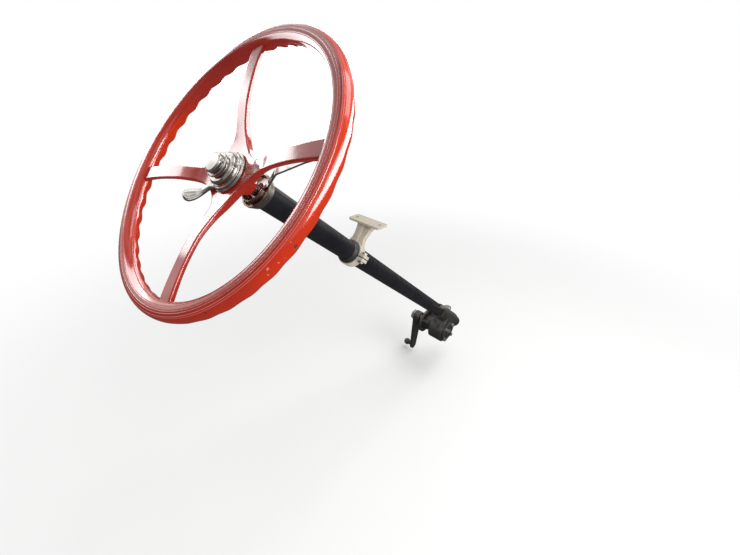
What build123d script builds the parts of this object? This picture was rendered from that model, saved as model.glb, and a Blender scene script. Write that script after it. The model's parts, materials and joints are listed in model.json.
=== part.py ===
from build123d import *
from math import cos, pi, radians, sin, sqrt
import os

# Steering wheel and column of an early open car, left-hand drive, complete from the horn
# button to the light switch below the steering gear, with the drop arm that turns the wheels.
# Millimetres. +X is the car's right, +Y its front and +Z up. The origin is the centre of the
# face that bolts to the frame rail, on the sector shaft's axis.
# Heights named w are measured up the column from the middle of the wheel's rim, and heights
# named s up the column from the sector shaft.
# Angles round the column count anticlockwise from the car's right, as the driver sees them.

# The column's place
COLUMN_RISE = 40.0          # the column's angle above level, degrees
COLUMN_X = 75.0             # from the frame face to the column's axis
GEAR_CENTRES = 57.0         # worm axis to sector-shaft axis
RIM_S = 1090.0              # the rim's middle, up the column from the sector shaft
RUNNING = 0.05              # radial clearance of a turning shaft in its bore
FACE_GAP = 0.5              # gap between faces that turn past each other

# Wheel
WHEEL_DIA = 444.5
RIM_SECTION = 26.8          # the rim's round section
GRIP_COUNT = 40             # finger grips round the back of the rim
GRIP_DEPTH = 4.0
GRIP_HOLLOW_R = 18.5        # the hollow between two lobes
GRIP_LAND = 3.3             # half of the flat at the bottom of a hollow
GRIP_INSET = 1.8            # how far the lobes stand in from the rim's round
SPOKE_COUNT = 4
SPOKE_ANGLE = 17.0          # the first spoke's angle, as the wheel stands
SPOKE_WIDTH = 22.0
SPOKE_THICKNESS = 8.5
SPOKE_DISH_R = 70.0         # where the spoke's dish turns over into its crown
SPOKE_DISH_W = -14.5
SPOKE_CROWN_R = 138.0       # where the crown runs out into the flat towards the rim
SPOKE_CROWN_W = 3.0
SPOKE_RIM_W = 4.8           # top of the spoke at the middle of the rim
WEB_FLAT_R = 46.0           # flat top of the hub's web
WEB_FOOT_R = 34.0           # where the web's underside reaches its full depth
WEB_FILLET = 66.0           # concave edge of the hub's web between two spokes
HUB_TOP_W = -20.5
HUB_WEB_THICKNESS = 12.0
HUB_CONE_HEIGHT = 12.0      # slope from the web's underside to the boss
HUB_BOSS_R = 16.5
HUB_BOSS_ROUND = 6.0
HUB_BOSS_END_W = -59.0

# Steering shaft, with the tube of the lights and horn standing still inside it
SHAFT_R = 9.5
SHAFT_BORE_R = 6.0
SHAFT_END_S = -52.0
SWITCH_TUBE_R = 4.5
WHEEL_NUT_AF = 24.0
WHEEL_NUT_HEIGHT = 8.0
NUT_RECESS_R = 15.0
NUT_RECESS_DEPTH = 10.0

# Light-switch lever and horn button
BELL_R = 32.0
BELL_STEPS = (
    # radius, height w of each step's top edge, from the foot up
    (32.0, -15.5),
    (29.5, -12.5),
    (26.5, -9.5),
    (22.0, -6.0),
)
FLANGE_R = 19.0
FLANGE_LOW_W = -2.5
FLANGE_TOP_W = 1.5
BUTTON_R = 15.5
BUTTON_TOP_W = 9.0
BELL_FLANGE_UNDER = 2.0     # the bell's last slope ends this far below its top flange
BUTTON_GROOVE = 1.0         # step between the button's neck and its side
BUTTON_GROOVE_HEIGHT = 2.0
BUTTON_EDGE = 2.5
BUTTON_CROWN = 0.8
NUT_ROOM = 3.0              # room round and above the wheel's nut inside the bell
LEVER_ANGLE = 235.0
LEVER_REACH = 74.0
LEVER_NECK = 10.5
LEVER_NECK_AT = 40.0
LEVER_PADDLE = 17.0
LEVER_PADDLE_AT = 58.0
LEVER_THICKNESS = 5.6
LEVER_LIFT = 2.5            # the neck's underside above the bell's foot
LEVER_BEND_AT = 48.0        # where the lever begins to curve up
LEVER_TIP_W = 1.5
LEVER_TOP_W = -11.5

# Column jacket and the control quadrant at its top
JACKET_R = 22.2
JACKET_WALL = 1.6
JACKET_TOP_W = -79.0
JACKET_END_S = 92.0
JACKET_WINDOW_S = 155.0     # middle of the windows that the control arms come out of
JACKET_WINDOW_LENGTH = 34.0
JACKET_WINDOW_WIDTH = 17.0
JACKET_WINDOW_DEPTH = 7.0   # how far a window cuts in from the jacket's round
QUADRANT_LIP_R = 29.8
QUADRANT_LIP_W = -68.0
QUADRANT_END_W = -83.0      # the cup's lower edge, round the jacket
QUADRANT_BAND_COUNT = 4     # turned bands from the lip down
QUADRANT_BAND_STEP = 1.4    # each band is this much smaller in radius
QUADRANT_WALL = 2.6
QUADRANT_FLOOR_R = 24.0     # inside of the cup at its floor
QUADRANT_FLOOR_W = -75.0
QUADRANT_TEETH = 14         # notches in each toothed arc of the lip
QUADRANT_TOOTH_PITCH = 6.0  # degrees
QUADRANT_NOTCH = 1.3
SHIELD_R = 23.4
SHIELD_WALL = 1.4
SHIELD_TOP_W = -61.0
SHIELD_MARGIN = 20.0        # degrees from each lever to the shield's end
CONTROL_ANGLES = {"spark": 186.0, "throttle": 29.0}
CONTROL_ROD_R = 3.2
CONTROL_ROD_OFFSET = 14.4
CONTROL_BOSS_R = 6.4
CONTROL_BOSS_TOP_W = -64.2
CONTROL_LIP_GAP = 0.5       # a lever's blade above the quadrant's lip
CONTROL_REACH = 145.0
CONTROL_RISE_AT = 64.0      # where the blade has risen clear of the quadrant
CONTROL_RISE_W = -47.0
CONTROL_TIP_W = -42.0
CONTROL_WIDTH = 10.0
CONTROL_TIP_WIDTH = 14.0
CONTROL_TIP_LENGTH = 26.0
CONTROL_THICKNESS = 3.2
CONTROL_BEND_R = 14.0
CONTROL_SHAFT_ROOM = 1.5    # room between a lever's boss and the turning shaft
ARM_REACH = 46.0
ARM_THICKNESS = 5.0
ARM_EYE_R = 7.0
ARM_BOSS_WALL = 1.4
ARM_HOLE_R = 3.3
GUIDE_S = 122.0
GUIDE_LENGTH = 14.0

# Bracket below the dash
BRACKET_W = -350.0
BRACKET_DEPTH = 20.0
BRACKET_RING_R = 30.0
RUBBER_R = 25.0
RUBBER_LIP_R = 27.5
RUBBER_LIP = 6.0
RUBBER_TAPER = 2.0
RUBBER_LENGTH = 44.0
BRACKET_NECK = 32.0         # width of the neck above the ring
BRACKET_NECK_Y = 37.0       # where the neck begins to flare
BRACKET_NECK_TOP = 74.0
BRACKET_NECK_DEPTH = 12.0
BRACKET_RIB = 7.0
BRACKET_RISE = 60.0         # flange underside above the column's axis, straight up
BRACKET_FLANGE_LENGTH = 92.0
BRACKET_FLANGE_WIDTH = 34.0
BRACKET_FLANGE_THICKNESS = 5.0
BRACKET_FLANGE_ROUND = 6.0
DASH_BOLT_SPACING = 68.0
DASH_HOLE_R = 4.2
EAR_REACH = 43.0
EAR_THICKNESS = 7.0
EAR_GAP = 2.0
EAR_BOLT_X = 35.5
EAR_BOLT_R = 3.5
EAR_NUT_AF = 11.0
EAR_NUT_HEIGHT = 5.0

# Steering gear
CASE_WIDTH = 58.0
CASE_R = 48.0
WORM_BARREL_R = 28.0
WORM_BARREL_LOW_S = -66.0
WORM_BARREL_TOP_S = 66.0
WORM_SADDLE = 96.0          # width of the case where it takes the worm's barrel
WORM_SADDLE_HEIGHT = 12.0
NECK_CONE = 10.0            # slope from the worm's barrel to the neck that holds the jacket
NECK_GRIP = 16.0            # length of the jacket held in the neck
CASE_ROUND = 4.0
NECK_BARREL_R = 26.5
FRAME_FLANGE_R = 50.0
FRAME_FLANGE_THICKNESS = 10.0
FRAME_BOLT_PCD = 78.0
FRAME_BOLT_COUNT = 3
FRAME_BOLT_ANGLE = 90.0     # the first bolt stands straight above the sector shaft
FRAME_HOLE_R = 5.6
TRUNNION_R = 25.0
RIB_THICKNESS = 7.0
RIB_INSET = 6.0             # the ribs' feet in from the flange's edge
RIB_RISE = 3.0              # the ribs' height over the trunnion at the case
SINK = 2.0                  # how far ribs and trunnion run into the metal that they join
COVER_THICKNESS = 9.0
COVER_R = 40.0
COVER_BOLT_PCD = 66.0
COVER_BOLT_COUNT = 4
COVER_BOLT_ANGLE = 45.0     # the first bolt's angle round the cover
COVER_HOLE_R = 4.2
ADJUSTER_R = 9.0
ADJUSTER_LENGTH = 9.0
END_COVER_R = 27.0
END_COVER_THICKNESS = 8.0
END_SOCKET_R = 20.0
END_SOCKET_LENGTH = 10.0
PLUG_AF = 16.0
PLUG_R = 11.0
PLUG_HEIGHT = 12.0
PLUG_S = 24.0               # the plug above the middle of the worm
SWITCH_R = 23.0
SWITCH_LENGTH = 34.0
SWITCH_CAP_R = 18.0
SWITCH_CAP_LENGTH = 5.0
TERMINAL_COUNT = 4
TERMINAL_RING_R = 12.0
TERMINAL_R = 2.6
TERMINAL_LENGTH = 6.0

# Sector shaft and drop arm
SECTOR_SHAFT_R = 14.25
SECTOR_SHAFT_IN = 92.0
DROP_HUB_NEAR = 20.0        # from the frame face out to the drop arm
DROP_HUB_LENGTH = 26.0
DROP_HUB_R = 24.0
DROP_LENGTH = 165.0
DROP_EYE_R = 16.0
DROP_THICKNESS = 15.0
DROP_EYE_THICKNESS = 11.0
DROP_NUT_AF = 36.0
DROP_NUT_HEIGHT = 14.0
BALL_R = 14.3
BALL_NECK_R = 8.0
BALL_OUT = 26.0             # ball centre from the arm's outer face

RISE = radians(COLUMN_RISE)
UP_COLUMN = Vector(0, -cos(RISE), sin(RISE))
ACROSS = Vector(0, sin(RISE), cos(RISE))
GEAR = Plane(
    origin=Vector(COLUMN_X, 0, 0) + ACROSS * GEAR_CENTRES,
    x_dir=(1, 0, 0),
    z_dir=UP_COLUMN,
)
WHEEL = GEAR.offset(RIM_S)
# Half sections of turned pieces are drawn here as radius and height
SECTION = Plane(origin=WHEEL.origin, x_dir=WHEEL.x_dir, z_dir=-WHEEL.y_dir)
COLUMN_AXIS = Axis(WHEEL.origin, WHEEL.z_dir)
RIM_R = (WHEEL_DIA - RIM_SECTION) / 2


def height(s):
    """Turn a height above the sector shaft into one above the rim's middle."""
    return s - RIM_S


def outline(*points, plane=SECTION):
    """Return a face bounded by straight lines through the points."""
    with BuildSketch(plane, mode=Mode.PRIVATE) as face:
        with BuildLine():
            Polyline(*points, close=True)
        make_face()
    return face.sketch


def ring_outline(inner, outer, low, high):
    """Return the half section of a plain ring or tube."""
    return outline((inner, low), (outer, low), (outer, high), (inner, high))


def radial(angle):
    """Return a plane whose x runs out from the column at the angle and whose y runs up it."""
    out = WHEEL.x_dir * cos(radians(angle)) + WHEEL.y_dir * sin(radians(angle))
    return Plane(origin=WHEEL.origin, x_dir=out, z_dir=out.cross(WHEEL.z_dir))


def level(angle, w):
    """Return a plane square to the column at height w, with x at the angle."""
    out = WHEEL.x_dir * cos(radians(angle)) + WHEEL.y_dir * sin(radians(angle))
    return Plane(origin=WHEEL.origin + WHEEL.z_dir * w, x_dir=out, z_dir=WHEEL.z_dir)


# Wheel rim: a moulded round hoop, flat behind, with finger grips standing on its flat
grip_floor = GRIP_HOLLOW_R - sqrt(GRIP_HOLLOW_R**2 - GRIP_LAND**2)
rim_back_w = GRIP_DEPTH - RIM_SECTION / 2 - grip_floor
with BuildSketch(SECTION, mode=Mode.PRIVATE) as rim_section:
    with Locations((RIM_R, 0)):
        Circle(RIM_SECTION / 2)
    with Locations((RIM_R, rim_back_w - RIM_SECTION / 2)):
        Rectangle(2 * RIM_SECTION, RIM_SECTION, mode=Mode.SUBTRACT)

# One lobe between two hollows, drawn at the wheel's own centre with x along its radius
half_pitch = RIM_R * sin(pi / GRIP_COUNT)
with BuildPart() as grip_lobe:
    with BuildSketch(Plane.YZ.offset(RIM_R - RIM_SECTION)):
        with Locations((0, rim_back_w)):
            Rectangle(2 * (half_pitch - GRIP_LAND), 2 * GRIP_DEPTH)
        with Locations(*[(x, GRIP_DEPTH - RIM_SECTION / 2 - GRIP_HOLLOW_R)
                         for x in (-half_pitch, half_pitch)]):
            Circle(GRIP_HOLLOW_R, mode=Mode.SUBTRACT)
    extrude(amount=2 * RIM_SECTION)
    with Locations((RIM_R, 0, -GRIP_INSET)):
        Cylinder(
            RIM_SECTION / 2 - GRIP_INSET,
            2 * RIM_SECTION,
            rotation=(90, 0, 0),
            mode=Mode.INTERSECT,
        )

with BuildPart(WHEEL) as wheel_rim:
    revolve(rim_section.sketch, axis=COLUMN_AXIS)
    with PolarLocations(0, GRIP_COUNT, start_angle=SPOKE_ANGLE + 180 / GRIP_COUNT):
        add(grip_lobe.part)

# Wheel spider: four spokes and the hub in one moulding
web_under_w = HUB_TOP_W - HUB_WEB_THICKNESS
with BuildSketch(SECTION, mode=Mode.PRIVATE) as spider_section:
    with BuildLine():
        hub_top = Line((0, HUB_TOP_W), (WEB_FLAT_R, HUB_TOP_W))
        dish = TangentArc(hub_top @ 1, (SPOKE_DISH_R, SPOKE_DISH_W), tangent=hub_top % 1)
        crown = TangentArc(dish @ 1, (SPOKE_CROWN_R, SPOKE_CROWN_W), tangent=dish % 1)
        flat = Line(crown @ 1, (RIM_R, SPOKE_RIM_W))
        tip = Line(flat @ 1, (RIM_R, SPOKE_RIM_W - SPOKE_THICKNESS))
        under = Line(tip @ 1, (SPOKE_CROWN_R, SPOKE_CROWN_W - SPOKE_THICKNESS))
        belly = TangentArc(
            under @ 1, (SPOKE_DISH_R, SPOKE_DISH_W - SPOKE_THICKNESS), tangent=under % 1
        )
        web = Line(belly @ 1, (WEB_FOOT_R, web_under_w))
        boss = Polyline(
            web @ 1,
            (HUB_BOSS_R, web_under_w - HUB_CONE_HEIGHT),
            (HUB_BOSS_R, HUB_BOSS_END_W + HUB_BOSS_ROUND),
        )
        boss_round = TangentArc(
            boss @ 1, (HUB_BOSS_R - HUB_BOSS_ROUND, HUB_BOSS_END_W), tangent=(0, -1)
        )
        Polyline(boss_round @ 1, (0, HUB_BOSS_END_W), hub_top @ 0)
    make_face()

with BuildPart() as wheel_spider:
    revolve(spider_section.sketch, axis=COLUMN_AXIS)
    with BuildSketch(level(SPOKE_ANGLE, 0)) as spokes:
        Rectangle(2 * RIM_R, SPOKE_WIDTH)
        Rectangle(SPOKE_WIDTH, 2 * RIM_R)
        inner_corners = spokes.vertices().sort_by_distance((0, 0))[:SPOKE_COUNT]
        fillet(inner_corners, radius=WEB_FILLET)
    extrude(amount=RIM_S, both=True, mode=Mode.INTERSECT)
    revolve(rim_section.sketch, axis=COLUMN_AXIS, mode=Mode.SUBTRACT)
    revolve(
        ring_outline(0, SHAFT_R, HUB_BOSS_END_W, HUB_TOP_W), axis=COLUMN_AXIS, mode=Mode.SUBTRACT
    )
    revolve(
        ring_outline(0, NUT_RECESS_R, HUB_TOP_W - NUT_RECESS_DEPTH, HUB_TOP_W),
        axis=COLUMN_AXIS,
        mode=Mode.SUBTRACT,
    )

nut_low_w = HUB_TOP_W - NUT_RECESS_DEPTH
with BuildPart() as wheel_nut:
    with BuildSketch(level(0, nut_low_w)):
        RegularPolygon(WHEEL_NUT_AF / 2, 6, major_radius=False)
        Circle(SHAFT_R, mode=Mode.SUBTRACT)
    extrude(amount=WHEEL_NUT_HEIGHT)

with BuildPart() as steering_shaft:
    revolve(
        ring_outline(SHAFT_BORE_R, SHAFT_R, height(SHAFT_END_S), nut_low_w + WHEEL_NUT_HEIGHT),
        axis=COLUMN_AXIS,
    )

# Light-switch lever: a plated bell over the hub with a lever cast on it, on a tube that
# stands still inside the steering shaft
bell_foot_w = HUB_TOP_W + FACE_GAP
bell_profile = [(SWITCH_TUBE_R, bell_foot_w)]
for radius, top_w in BELL_STEPS:
    bell_profile += [(radius, bell_profile[-1][1]), (radius, top_w)]
bell_profile += [
    (FLANGE_R, FLANGE_LOW_W - BELL_FLANGE_UNDER),
    (FLANGE_R, FLANGE_TOP_W),
    (SWITCH_TUBE_R, FLANGE_TOP_W),
]
paddle_end = LEVER_REACH - LEVER_PADDLE / 2
with BuildPart() as switch_lever:
    with BuildSketch(level(LEVER_ANGLE, bell_foot_w)):
        with BuildLine():
            side = Polyline(
                (0, -LEVER_NECK),
                (BELL_R, -LEVER_NECK),
                (LEVER_NECK_AT, -LEVER_NECK / 2),
                (LEVER_PADDLE_AT, -LEVER_PADDLE / 2),
                (paddle_end, -LEVER_PADDLE / 2),
            )
            ThreePointArc(side @ 1, (LEVER_REACH, 0), (paddle_end, LEVER_PADDLE / 2))
            Polyline(
                (paddle_end, LEVER_PADDLE / 2),
                (LEVER_PADDLE_AT, LEVER_PADDLE / 2),
                (LEVER_NECK_AT, LEVER_NECK / 2),
                (BELL_R, LEVER_NECK),
                (0, LEVER_NECK),
                side @ 0,
            )
        make_face()
    extrude(amount=LEVER_REACH)
    with BuildSketch(radial(LEVER_ANGLE)):
        with BuildLine():
            low = Polyline(
                (SWITCH_TUBE_R, bell_foot_w),
                (BELL_R, bell_foot_w),
                (LEVER_BEND_AT, bell_foot_w + LEVER_LIFT),
            )
            rise = TangentArc(low @ 1, (LEVER_REACH, LEVER_TIP_W - LEVER_THICKNESS), tangent=low % 1)
            end = Line(rise @ 1, (LEVER_REACH - LEVER_THICKNESS, LEVER_TIP_W))
            top = TangentArc(
                (LEVER_BEND_AT - LEVER_LIFT, LEVER_TOP_W), end @ 1, tangent=(LEVER_REACH, LEVER_LIFT)
            )
            Polyline(top @ 0, (SWITCH_TUBE_R, LEVER_TOP_W), low @ 0)
        make_face()
    extrude(amount=LEVER_PADDLE, both=True, mode=Mode.INTERSECT)
    revolve(outline(*bell_profile), axis=COLUMN_AXIS)
    revolve(
        ring_outline(0, SWITCH_TUBE_R, HUB_TOP_W, BUTTON_TOP_W),
        axis=COLUMN_AXIS,
        mode=Mode.SUBTRACT,
    )
    revolve(
        ring_outline(0, WHEEL_NUT_AF / 2 + NUT_ROOM, HUB_TOP_W, HUB_TOP_W + NUT_ROOM),
        axis=COLUMN_AXIS,
        mode=Mode.SUBTRACT,
    )

with BuildPart() as horn_button:
    revolve(
        outline(
            (0, FLANGE_TOP_W),
            (BUTTON_R - BUTTON_GROOVE, FLANGE_TOP_W),
            (BUTTON_R - BUTTON_GROOVE, FLANGE_TOP_W + BUTTON_GROOVE_HEIGHT),
            (BUTTON_R, FLANGE_TOP_W + BUTTON_GROOVE_HEIGHT),
            (BUTTON_R, BUTTON_TOP_W - BUTTON_EDGE),
            (BUTTON_R - BUTTON_EDGE, BUTTON_TOP_W - BUTTON_CROWN),
            (0, BUTTON_TOP_W),
        ),
        axis=COLUMN_AXIS,
    )

switch_tube_end = height(WORM_BARREL_LOW_S - END_COVER_THICKNESS - END_SOCKET_LENGTH)
with BuildPart() as switch_tube:
    revolve(ring_outline(0, SWITCH_TUBE_R, switch_tube_end, FLANGE_TOP_W), axis=COLUMN_AXIS)

# Column jacket: one long tube from the gear to the quadrant
with BuildPart() as column_jacket:
    revolve(
        ring_outline(JACKET_R - JACKET_WALL, JACKET_R, height(JACKET_END_S), JACKET_TOP_W),
        axis=COLUMN_AXIS,
    )
    for angle in CONTROL_ANGLES.values():
        with BuildSketch(level(angle, height(JACKET_WINDOW_S))):
            with Locations((JACKET_R, 0)):
                Rectangle(2 * JACKET_WINDOW_DEPTH, JACKET_WINDOW_WIDTH)
        extrude(amount=JACKET_WINDOW_LENGTH / 2, both=True, mode=Mode.SUBTRACT)

# Bush in the jacket's lower end, which steadies the shaft and the two control rods
with BuildPart() as lower_bush:
    revolve(
        ring_outline(
            SHAFT_R + RUNNING,
            JACKET_R - JACKET_WALL,
            height(GUIDE_S - GUIDE_LENGTH / 2),
            height(GUIDE_S + GUIDE_LENGTH / 2),
        ),
        axis=COLUMN_AXIS,
    )
    for angle in CONTROL_ANGLES.values():
        with BuildSketch(level(angle, height(GUIDE_S))):
            with Locations((CONTROL_ROD_OFFSET, 0)):
                Circle(CONTROL_ROD_R)
        extrude(amount=GUIDE_LENGTH, both=True, mode=Mode.SUBTRACT)

# Control quadrant: a banded cup on the jacket's top, its lip toothed where the levers pass
quadrant_profile = [
    (SHAFT_R + RUNNING, QUADRANT_FLOOR_W),
    (QUADRANT_FLOOR_R, QUADRANT_FLOOR_W),
    (QUADRANT_LIP_R - QUADRANT_WALL, QUADRANT_LIP_W),
]
band_height = (QUADRANT_LIP_W - QUADRANT_END_W) / QUADRANT_BAND_COUNT
for band in range(QUADRANT_BAND_COUNT):
    band_r = QUADRANT_LIP_R - QUADRANT_BAND_STEP * band
    band_w = QUADRANT_LIP_W - band_height * band
    quadrant_profile += [(band_r, band_w), (band_r, band_w - band_height)]
quadrant_profile += [
    (JACKET_R, QUADRANT_END_W),
    (JACKET_R, JACKET_TOP_W),
    (SHAFT_R + RUNNING, JACKET_TOP_W),
]
with BuildPart() as control_quadrant:
    revolve(outline(*quadrant_profile), axis=COLUMN_AXIS)
    for angle in CONTROL_ANGLES.values():
        first = angle - QUADRANT_TOOTH_PITCH * (QUADRANT_TEETH - 1) / 2
        with BuildSketch(level(first, QUADRANT_LIP_W)):
            with PolarLocations(
                QUADRANT_LIP_R,
                QUADRANT_TEETH,
                angular_range=QUADRANT_TOOTH_PITCH * QUADRANT_TEETH,
            ):
                Rectangle(3 * QUADRANT_WALL, QUADRANT_NOTCH)
        extrude(amount=-QUADRANT_NOTCH, mode=Mode.SUBTRACT)
        with BuildSketch(level(angle, QUADRANT_FLOOR_W)):
            with Locations((CONTROL_ROD_OFFSET, 0)):
                Circle(CONTROL_ROD_R)
        extrude(amount=JACKET_TOP_W - QUADRANT_FLOOR_W, mode=Mode.SUBTRACT)

# Shield: a plated ring inside the cup, open where the levers leave it
shield_from = CONTROL_ANGLES["spark"] + SHIELD_MARGIN
shield_arc = CONTROL_ANGLES["throttle"] + 360 - SHIELD_MARGIN - shield_from
with BuildPart() as quadrant_shield:
    with BuildSketch(radial(shield_from)):
        with Locations((SHIELD_R - SHIELD_WALL / 2, (QUADRANT_FLOOR_W + SHIELD_TOP_W) / 2)):
            Rectangle(SHIELD_WALL, SHIELD_TOP_W - QUADRANT_FLOOR_W)
    revolve(axis=COLUMN_AXIS, revolution_arc=shield_arc)

# Spark and throttle: the same lever, rod and lower arm, on opposite sides
levers = {}
rods = {}
arms = {}
blade_w = QUADRANT_LIP_W + CONTROL_LIP_GAP + CONTROL_THICKNESS / 2
blade_end = CONTROL_REACH - CONTROL_TIP_WIDTH / 2
arm_boss_r = CONTROL_ROD_R + ARM_BOSS_WALL
for name, angle in CONTROL_ANGLES.items():
    with BuildPart() as lever:
        with BuildSketch(level(angle, QUADRANT_LIP_W)):
            with BuildLine():
                side = Polyline(
                    (CONTROL_ROD_OFFSET, -CONTROL_WIDTH / 2),
                    (CONTROL_REACH - CONTROL_TIP_LENGTH, -CONTROL_WIDTH / 2),
                    (blade_end, -CONTROL_TIP_WIDTH / 2),
                )
                ThreePointArc(side @ 1, (CONTROL_REACH, 0), (blade_end, CONTROL_TIP_WIDTH / 2))
                Polyline(
                    (blade_end, CONTROL_TIP_WIDTH / 2),
                    (CONTROL_REACH - CONTROL_TIP_LENGTH, CONTROL_WIDTH / 2),
                    (CONTROL_ROD_OFFSET, CONTROL_WIDTH / 2),
                    side @ 0,
                )
            make_face()
        extrude(amount=CONTROL_REACH)
        with BuildSketch(radial(angle)):
            with BuildLine():
                FilletPolyline(
                    (0, blade_w),
                    (QUADRANT_LIP_R, blade_w),
                    (CONTROL_RISE_AT, CONTROL_RISE_W),
                    (CONTROL_REACH, CONTROL_TIP_W),
                    radius=CONTROL_BEND_R,
                )
            trace(line_width=CONTROL_THICKNESS)
        extrude(amount=CONTROL_TIP_WIDTH, both=True, mode=Mode.INTERSECT)
        with BuildSketch(level(angle, QUADRANT_FLOOR_W)):
            with Locations((CONTROL_ROD_OFFSET, 0)):
                Circle(CONTROL_BOSS_R)
        extrude(amount=CONTROL_BOSS_TOP_W - QUADRANT_FLOOR_W)
        with BuildSketch(level(angle, QUADRANT_FLOOR_W)):
            with Locations((CONTROL_ROD_OFFSET, 0)):
                Circle(CONTROL_ROD_R)
        extrude(amount=CONTROL_BOSS_TOP_W - QUADRANT_FLOOR_W, mode=Mode.SUBTRACT)
        revolve(
            ring_outline(0, SHAFT_R + CONTROL_SHAFT_ROOM, QUADRANT_FLOOR_W, CONTROL_BOSS_TOP_W),
            axis=COLUMN_AXIS,
            mode=Mode.SUBTRACT,
        )
    levers[name] = lever

    rod_low_w = height(GUIDE_S - GUIDE_LENGTH / 2)
    with BuildPart() as rod:
        with BuildSketch(level(angle, rod_low_w)):
            with Locations((CONTROL_ROD_OFFSET, 0)):
                Circle(CONTROL_ROD_R)
        extrude(amount=CONTROL_BOSS_TOP_W - rod_low_w)
    rods[name] = rod

    with BuildPart() as arm:
        with BuildSketch(level(angle, height(JACKET_WINDOW_S))):
            with Locations((CONTROL_ROD_OFFSET, 0)):
                Circle(arm_boss_r)
            with BuildLine():
                Polyline(
                    (CONTROL_ROD_OFFSET, -arm_boss_r),
                    (ARM_REACH, -ARM_EYE_R),
                    (ARM_REACH, ARM_EYE_R),
                    (CONTROL_ROD_OFFSET, arm_boss_r),
                    close=True,
                )
            make_face()
            with Locations((ARM_REACH, 0)):
                Circle(ARM_EYE_R)
                Circle(ARM_HOLE_R, mode=Mode.SUBTRACT)
            with Locations((CONTROL_ROD_OFFSET, 0)):
                Circle(CONTROL_ROD_R, mode=Mode.SUBTRACT)
        extrude(amount=ARM_THICKNESS / 2, both=True)
    arms[name] = arm

# Bracket below the dash: a split clamp round a rubber sleeve, its flared and ribbed neck up to
# a flat flange
bracket_at = WHEEL.offset(BRACKET_W)
bolts_at = Plane(bracket_at.origin, x_dir=bracket_at.x_dir, z_dir=bracket_at.y_dir)
flange_z = bracket_at.origin.Z + BRACKET_RISE
flange_y = bracket_at.origin.Y + BRACKET_RISE * sin(RISE) / cos(RISE)
neck_top_y = BRACKET_RISE / cos(RISE) + BRACKET_DEPTH
ear_low = EAR_GAP / 2
ear_stack = ear_low + EAR_THICKNESS


def half_clamp(side):
    """Sketch half of the clamp's ring with its two ears, above the split for 1, below for -1."""
    Circle(BRACKET_RING_R)
    with Locations((0, side * (ear_low + EAR_THICKNESS / 2))):
        Rectangle(2 * EAR_REACH, EAR_THICKNESS)
    Circle(RUBBER_R, mode=Mode.SUBTRACT)
    with Locations((0, side * (ear_low - BRACKET_RING_R))):
        Rectangle(2 * EAR_REACH, 2 * BRACKET_RING_R, mode=Mode.SUBTRACT)


with BuildPart() as dash_bracket:
    with BuildSketch(bracket_at):
        with BuildLine():
            right = Line((BRACKET_RING_R, 0), (BRACKET_NECK / 2, BRACKET_NECK_Y))
            TangentArc(right @ 1, (BRACKET_NECK_TOP / 2, neck_top_y), tangent=(0, 1))
            mirror(about=Plane.YZ)
            Line((-BRACKET_NECK_TOP / 2, neck_top_y), (BRACKET_NECK_TOP / 2, neck_top_y))
            Line((-BRACKET_RING_R, 0), (BRACKET_RING_R, 0))
        make_face()
        Circle(RUBBER_R, mode=Mode.SUBTRACT)
        with Locations((0, ear_low - BRACKET_RING_R)):
            Rectangle(2 * EAR_REACH, 2 * BRACKET_RING_R, mode=Mode.SUBTRACT)
    extrude(amount=BRACKET_NECK_DEPTH / 2, both=True)
    with BuildSketch(bracket_at):
        with Locations((0, (BRACKET_RING_R + neck_top_y) / 2)):
            Rectangle(BRACKET_RIB, neck_top_y - BRACKET_RING_R + BRACKET_RIB)
    extrude(amount=BRACKET_DEPTH / 2, both=True)
    with BuildSketch(bracket_at):
        half_clamp(1)
    extrude(amount=BRACKET_DEPTH / 2, both=True)
    split(bisect_by=Plane.XY.offset(flange_z), keep=Keep.BOTTOM)
    with BuildSketch(Plane.XY.offset(flange_z)):
        with Locations((COLUMN_X, flange_y)):
            RectangleRounded(BRACKET_FLANGE_LENGTH, BRACKET_FLANGE_WIDTH, BRACKET_FLANGE_ROUND)
            with Locations((-DASH_BOLT_SPACING / 2, 0), (DASH_BOLT_SPACING / 2, 0)):
                Circle(DASH_HOLE_R, mode=Mode.SUBTRACT)
    extrude(amount=BRACKET_FLANGE_THICKNESS)
    with BuildSketch(bolts_at):
        with Locations((-EAR_BOLT_X, 0), (EAR_BOLT_X, 0)):
            Circle(EAR_BOLT_R)
    extrude(amount=ear_stack, mode=Mode.SUBTRACT)

with BuildPart() as clamp_cap:
    with BuildSketch(bracket_at):
        half_clamp(-1)
    extrude(amount=BRACKET_DEPTH / 2, both=True)
    with BuildSketch(bolts_at):
        with Locations((-EAR_BOLT_X, 0), (EAR_BOLT_X, 0)):
            Circle(EAR_BOLT_R)
    extrude(amount=-ear_stack, mode=Mode.SUBTRACT)

with BuildPart() as clamp_rubber:
    revolve(
        outline(
            (JACKET_R, BRACKET_W - RUBBER_LENGTH / 2),
            (RUBBER_R, BRACKET_W - RUBBER_LENGTH / 2),
            (RUBBER_R, BRACKET_W + BRACKET_DEPTH / 2),
            (RUBBER_LIP_R, BRACKET_W + BRACKET_DEPTH / 2),
            (RUBBER_LIP_R, BRACKET_W + BRACKET_DEPTH / 2 + RUBBER_LIP),
            (RUBBER_R - RUBBER_TAPER, BRACKET_W + RUBBER_LENGTH / 2),
            (JACKET_R, BRACKET_W + RUBBER_LENGTH / 2),
        ),
        axis=COLUMN_AXIS,
    )

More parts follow.
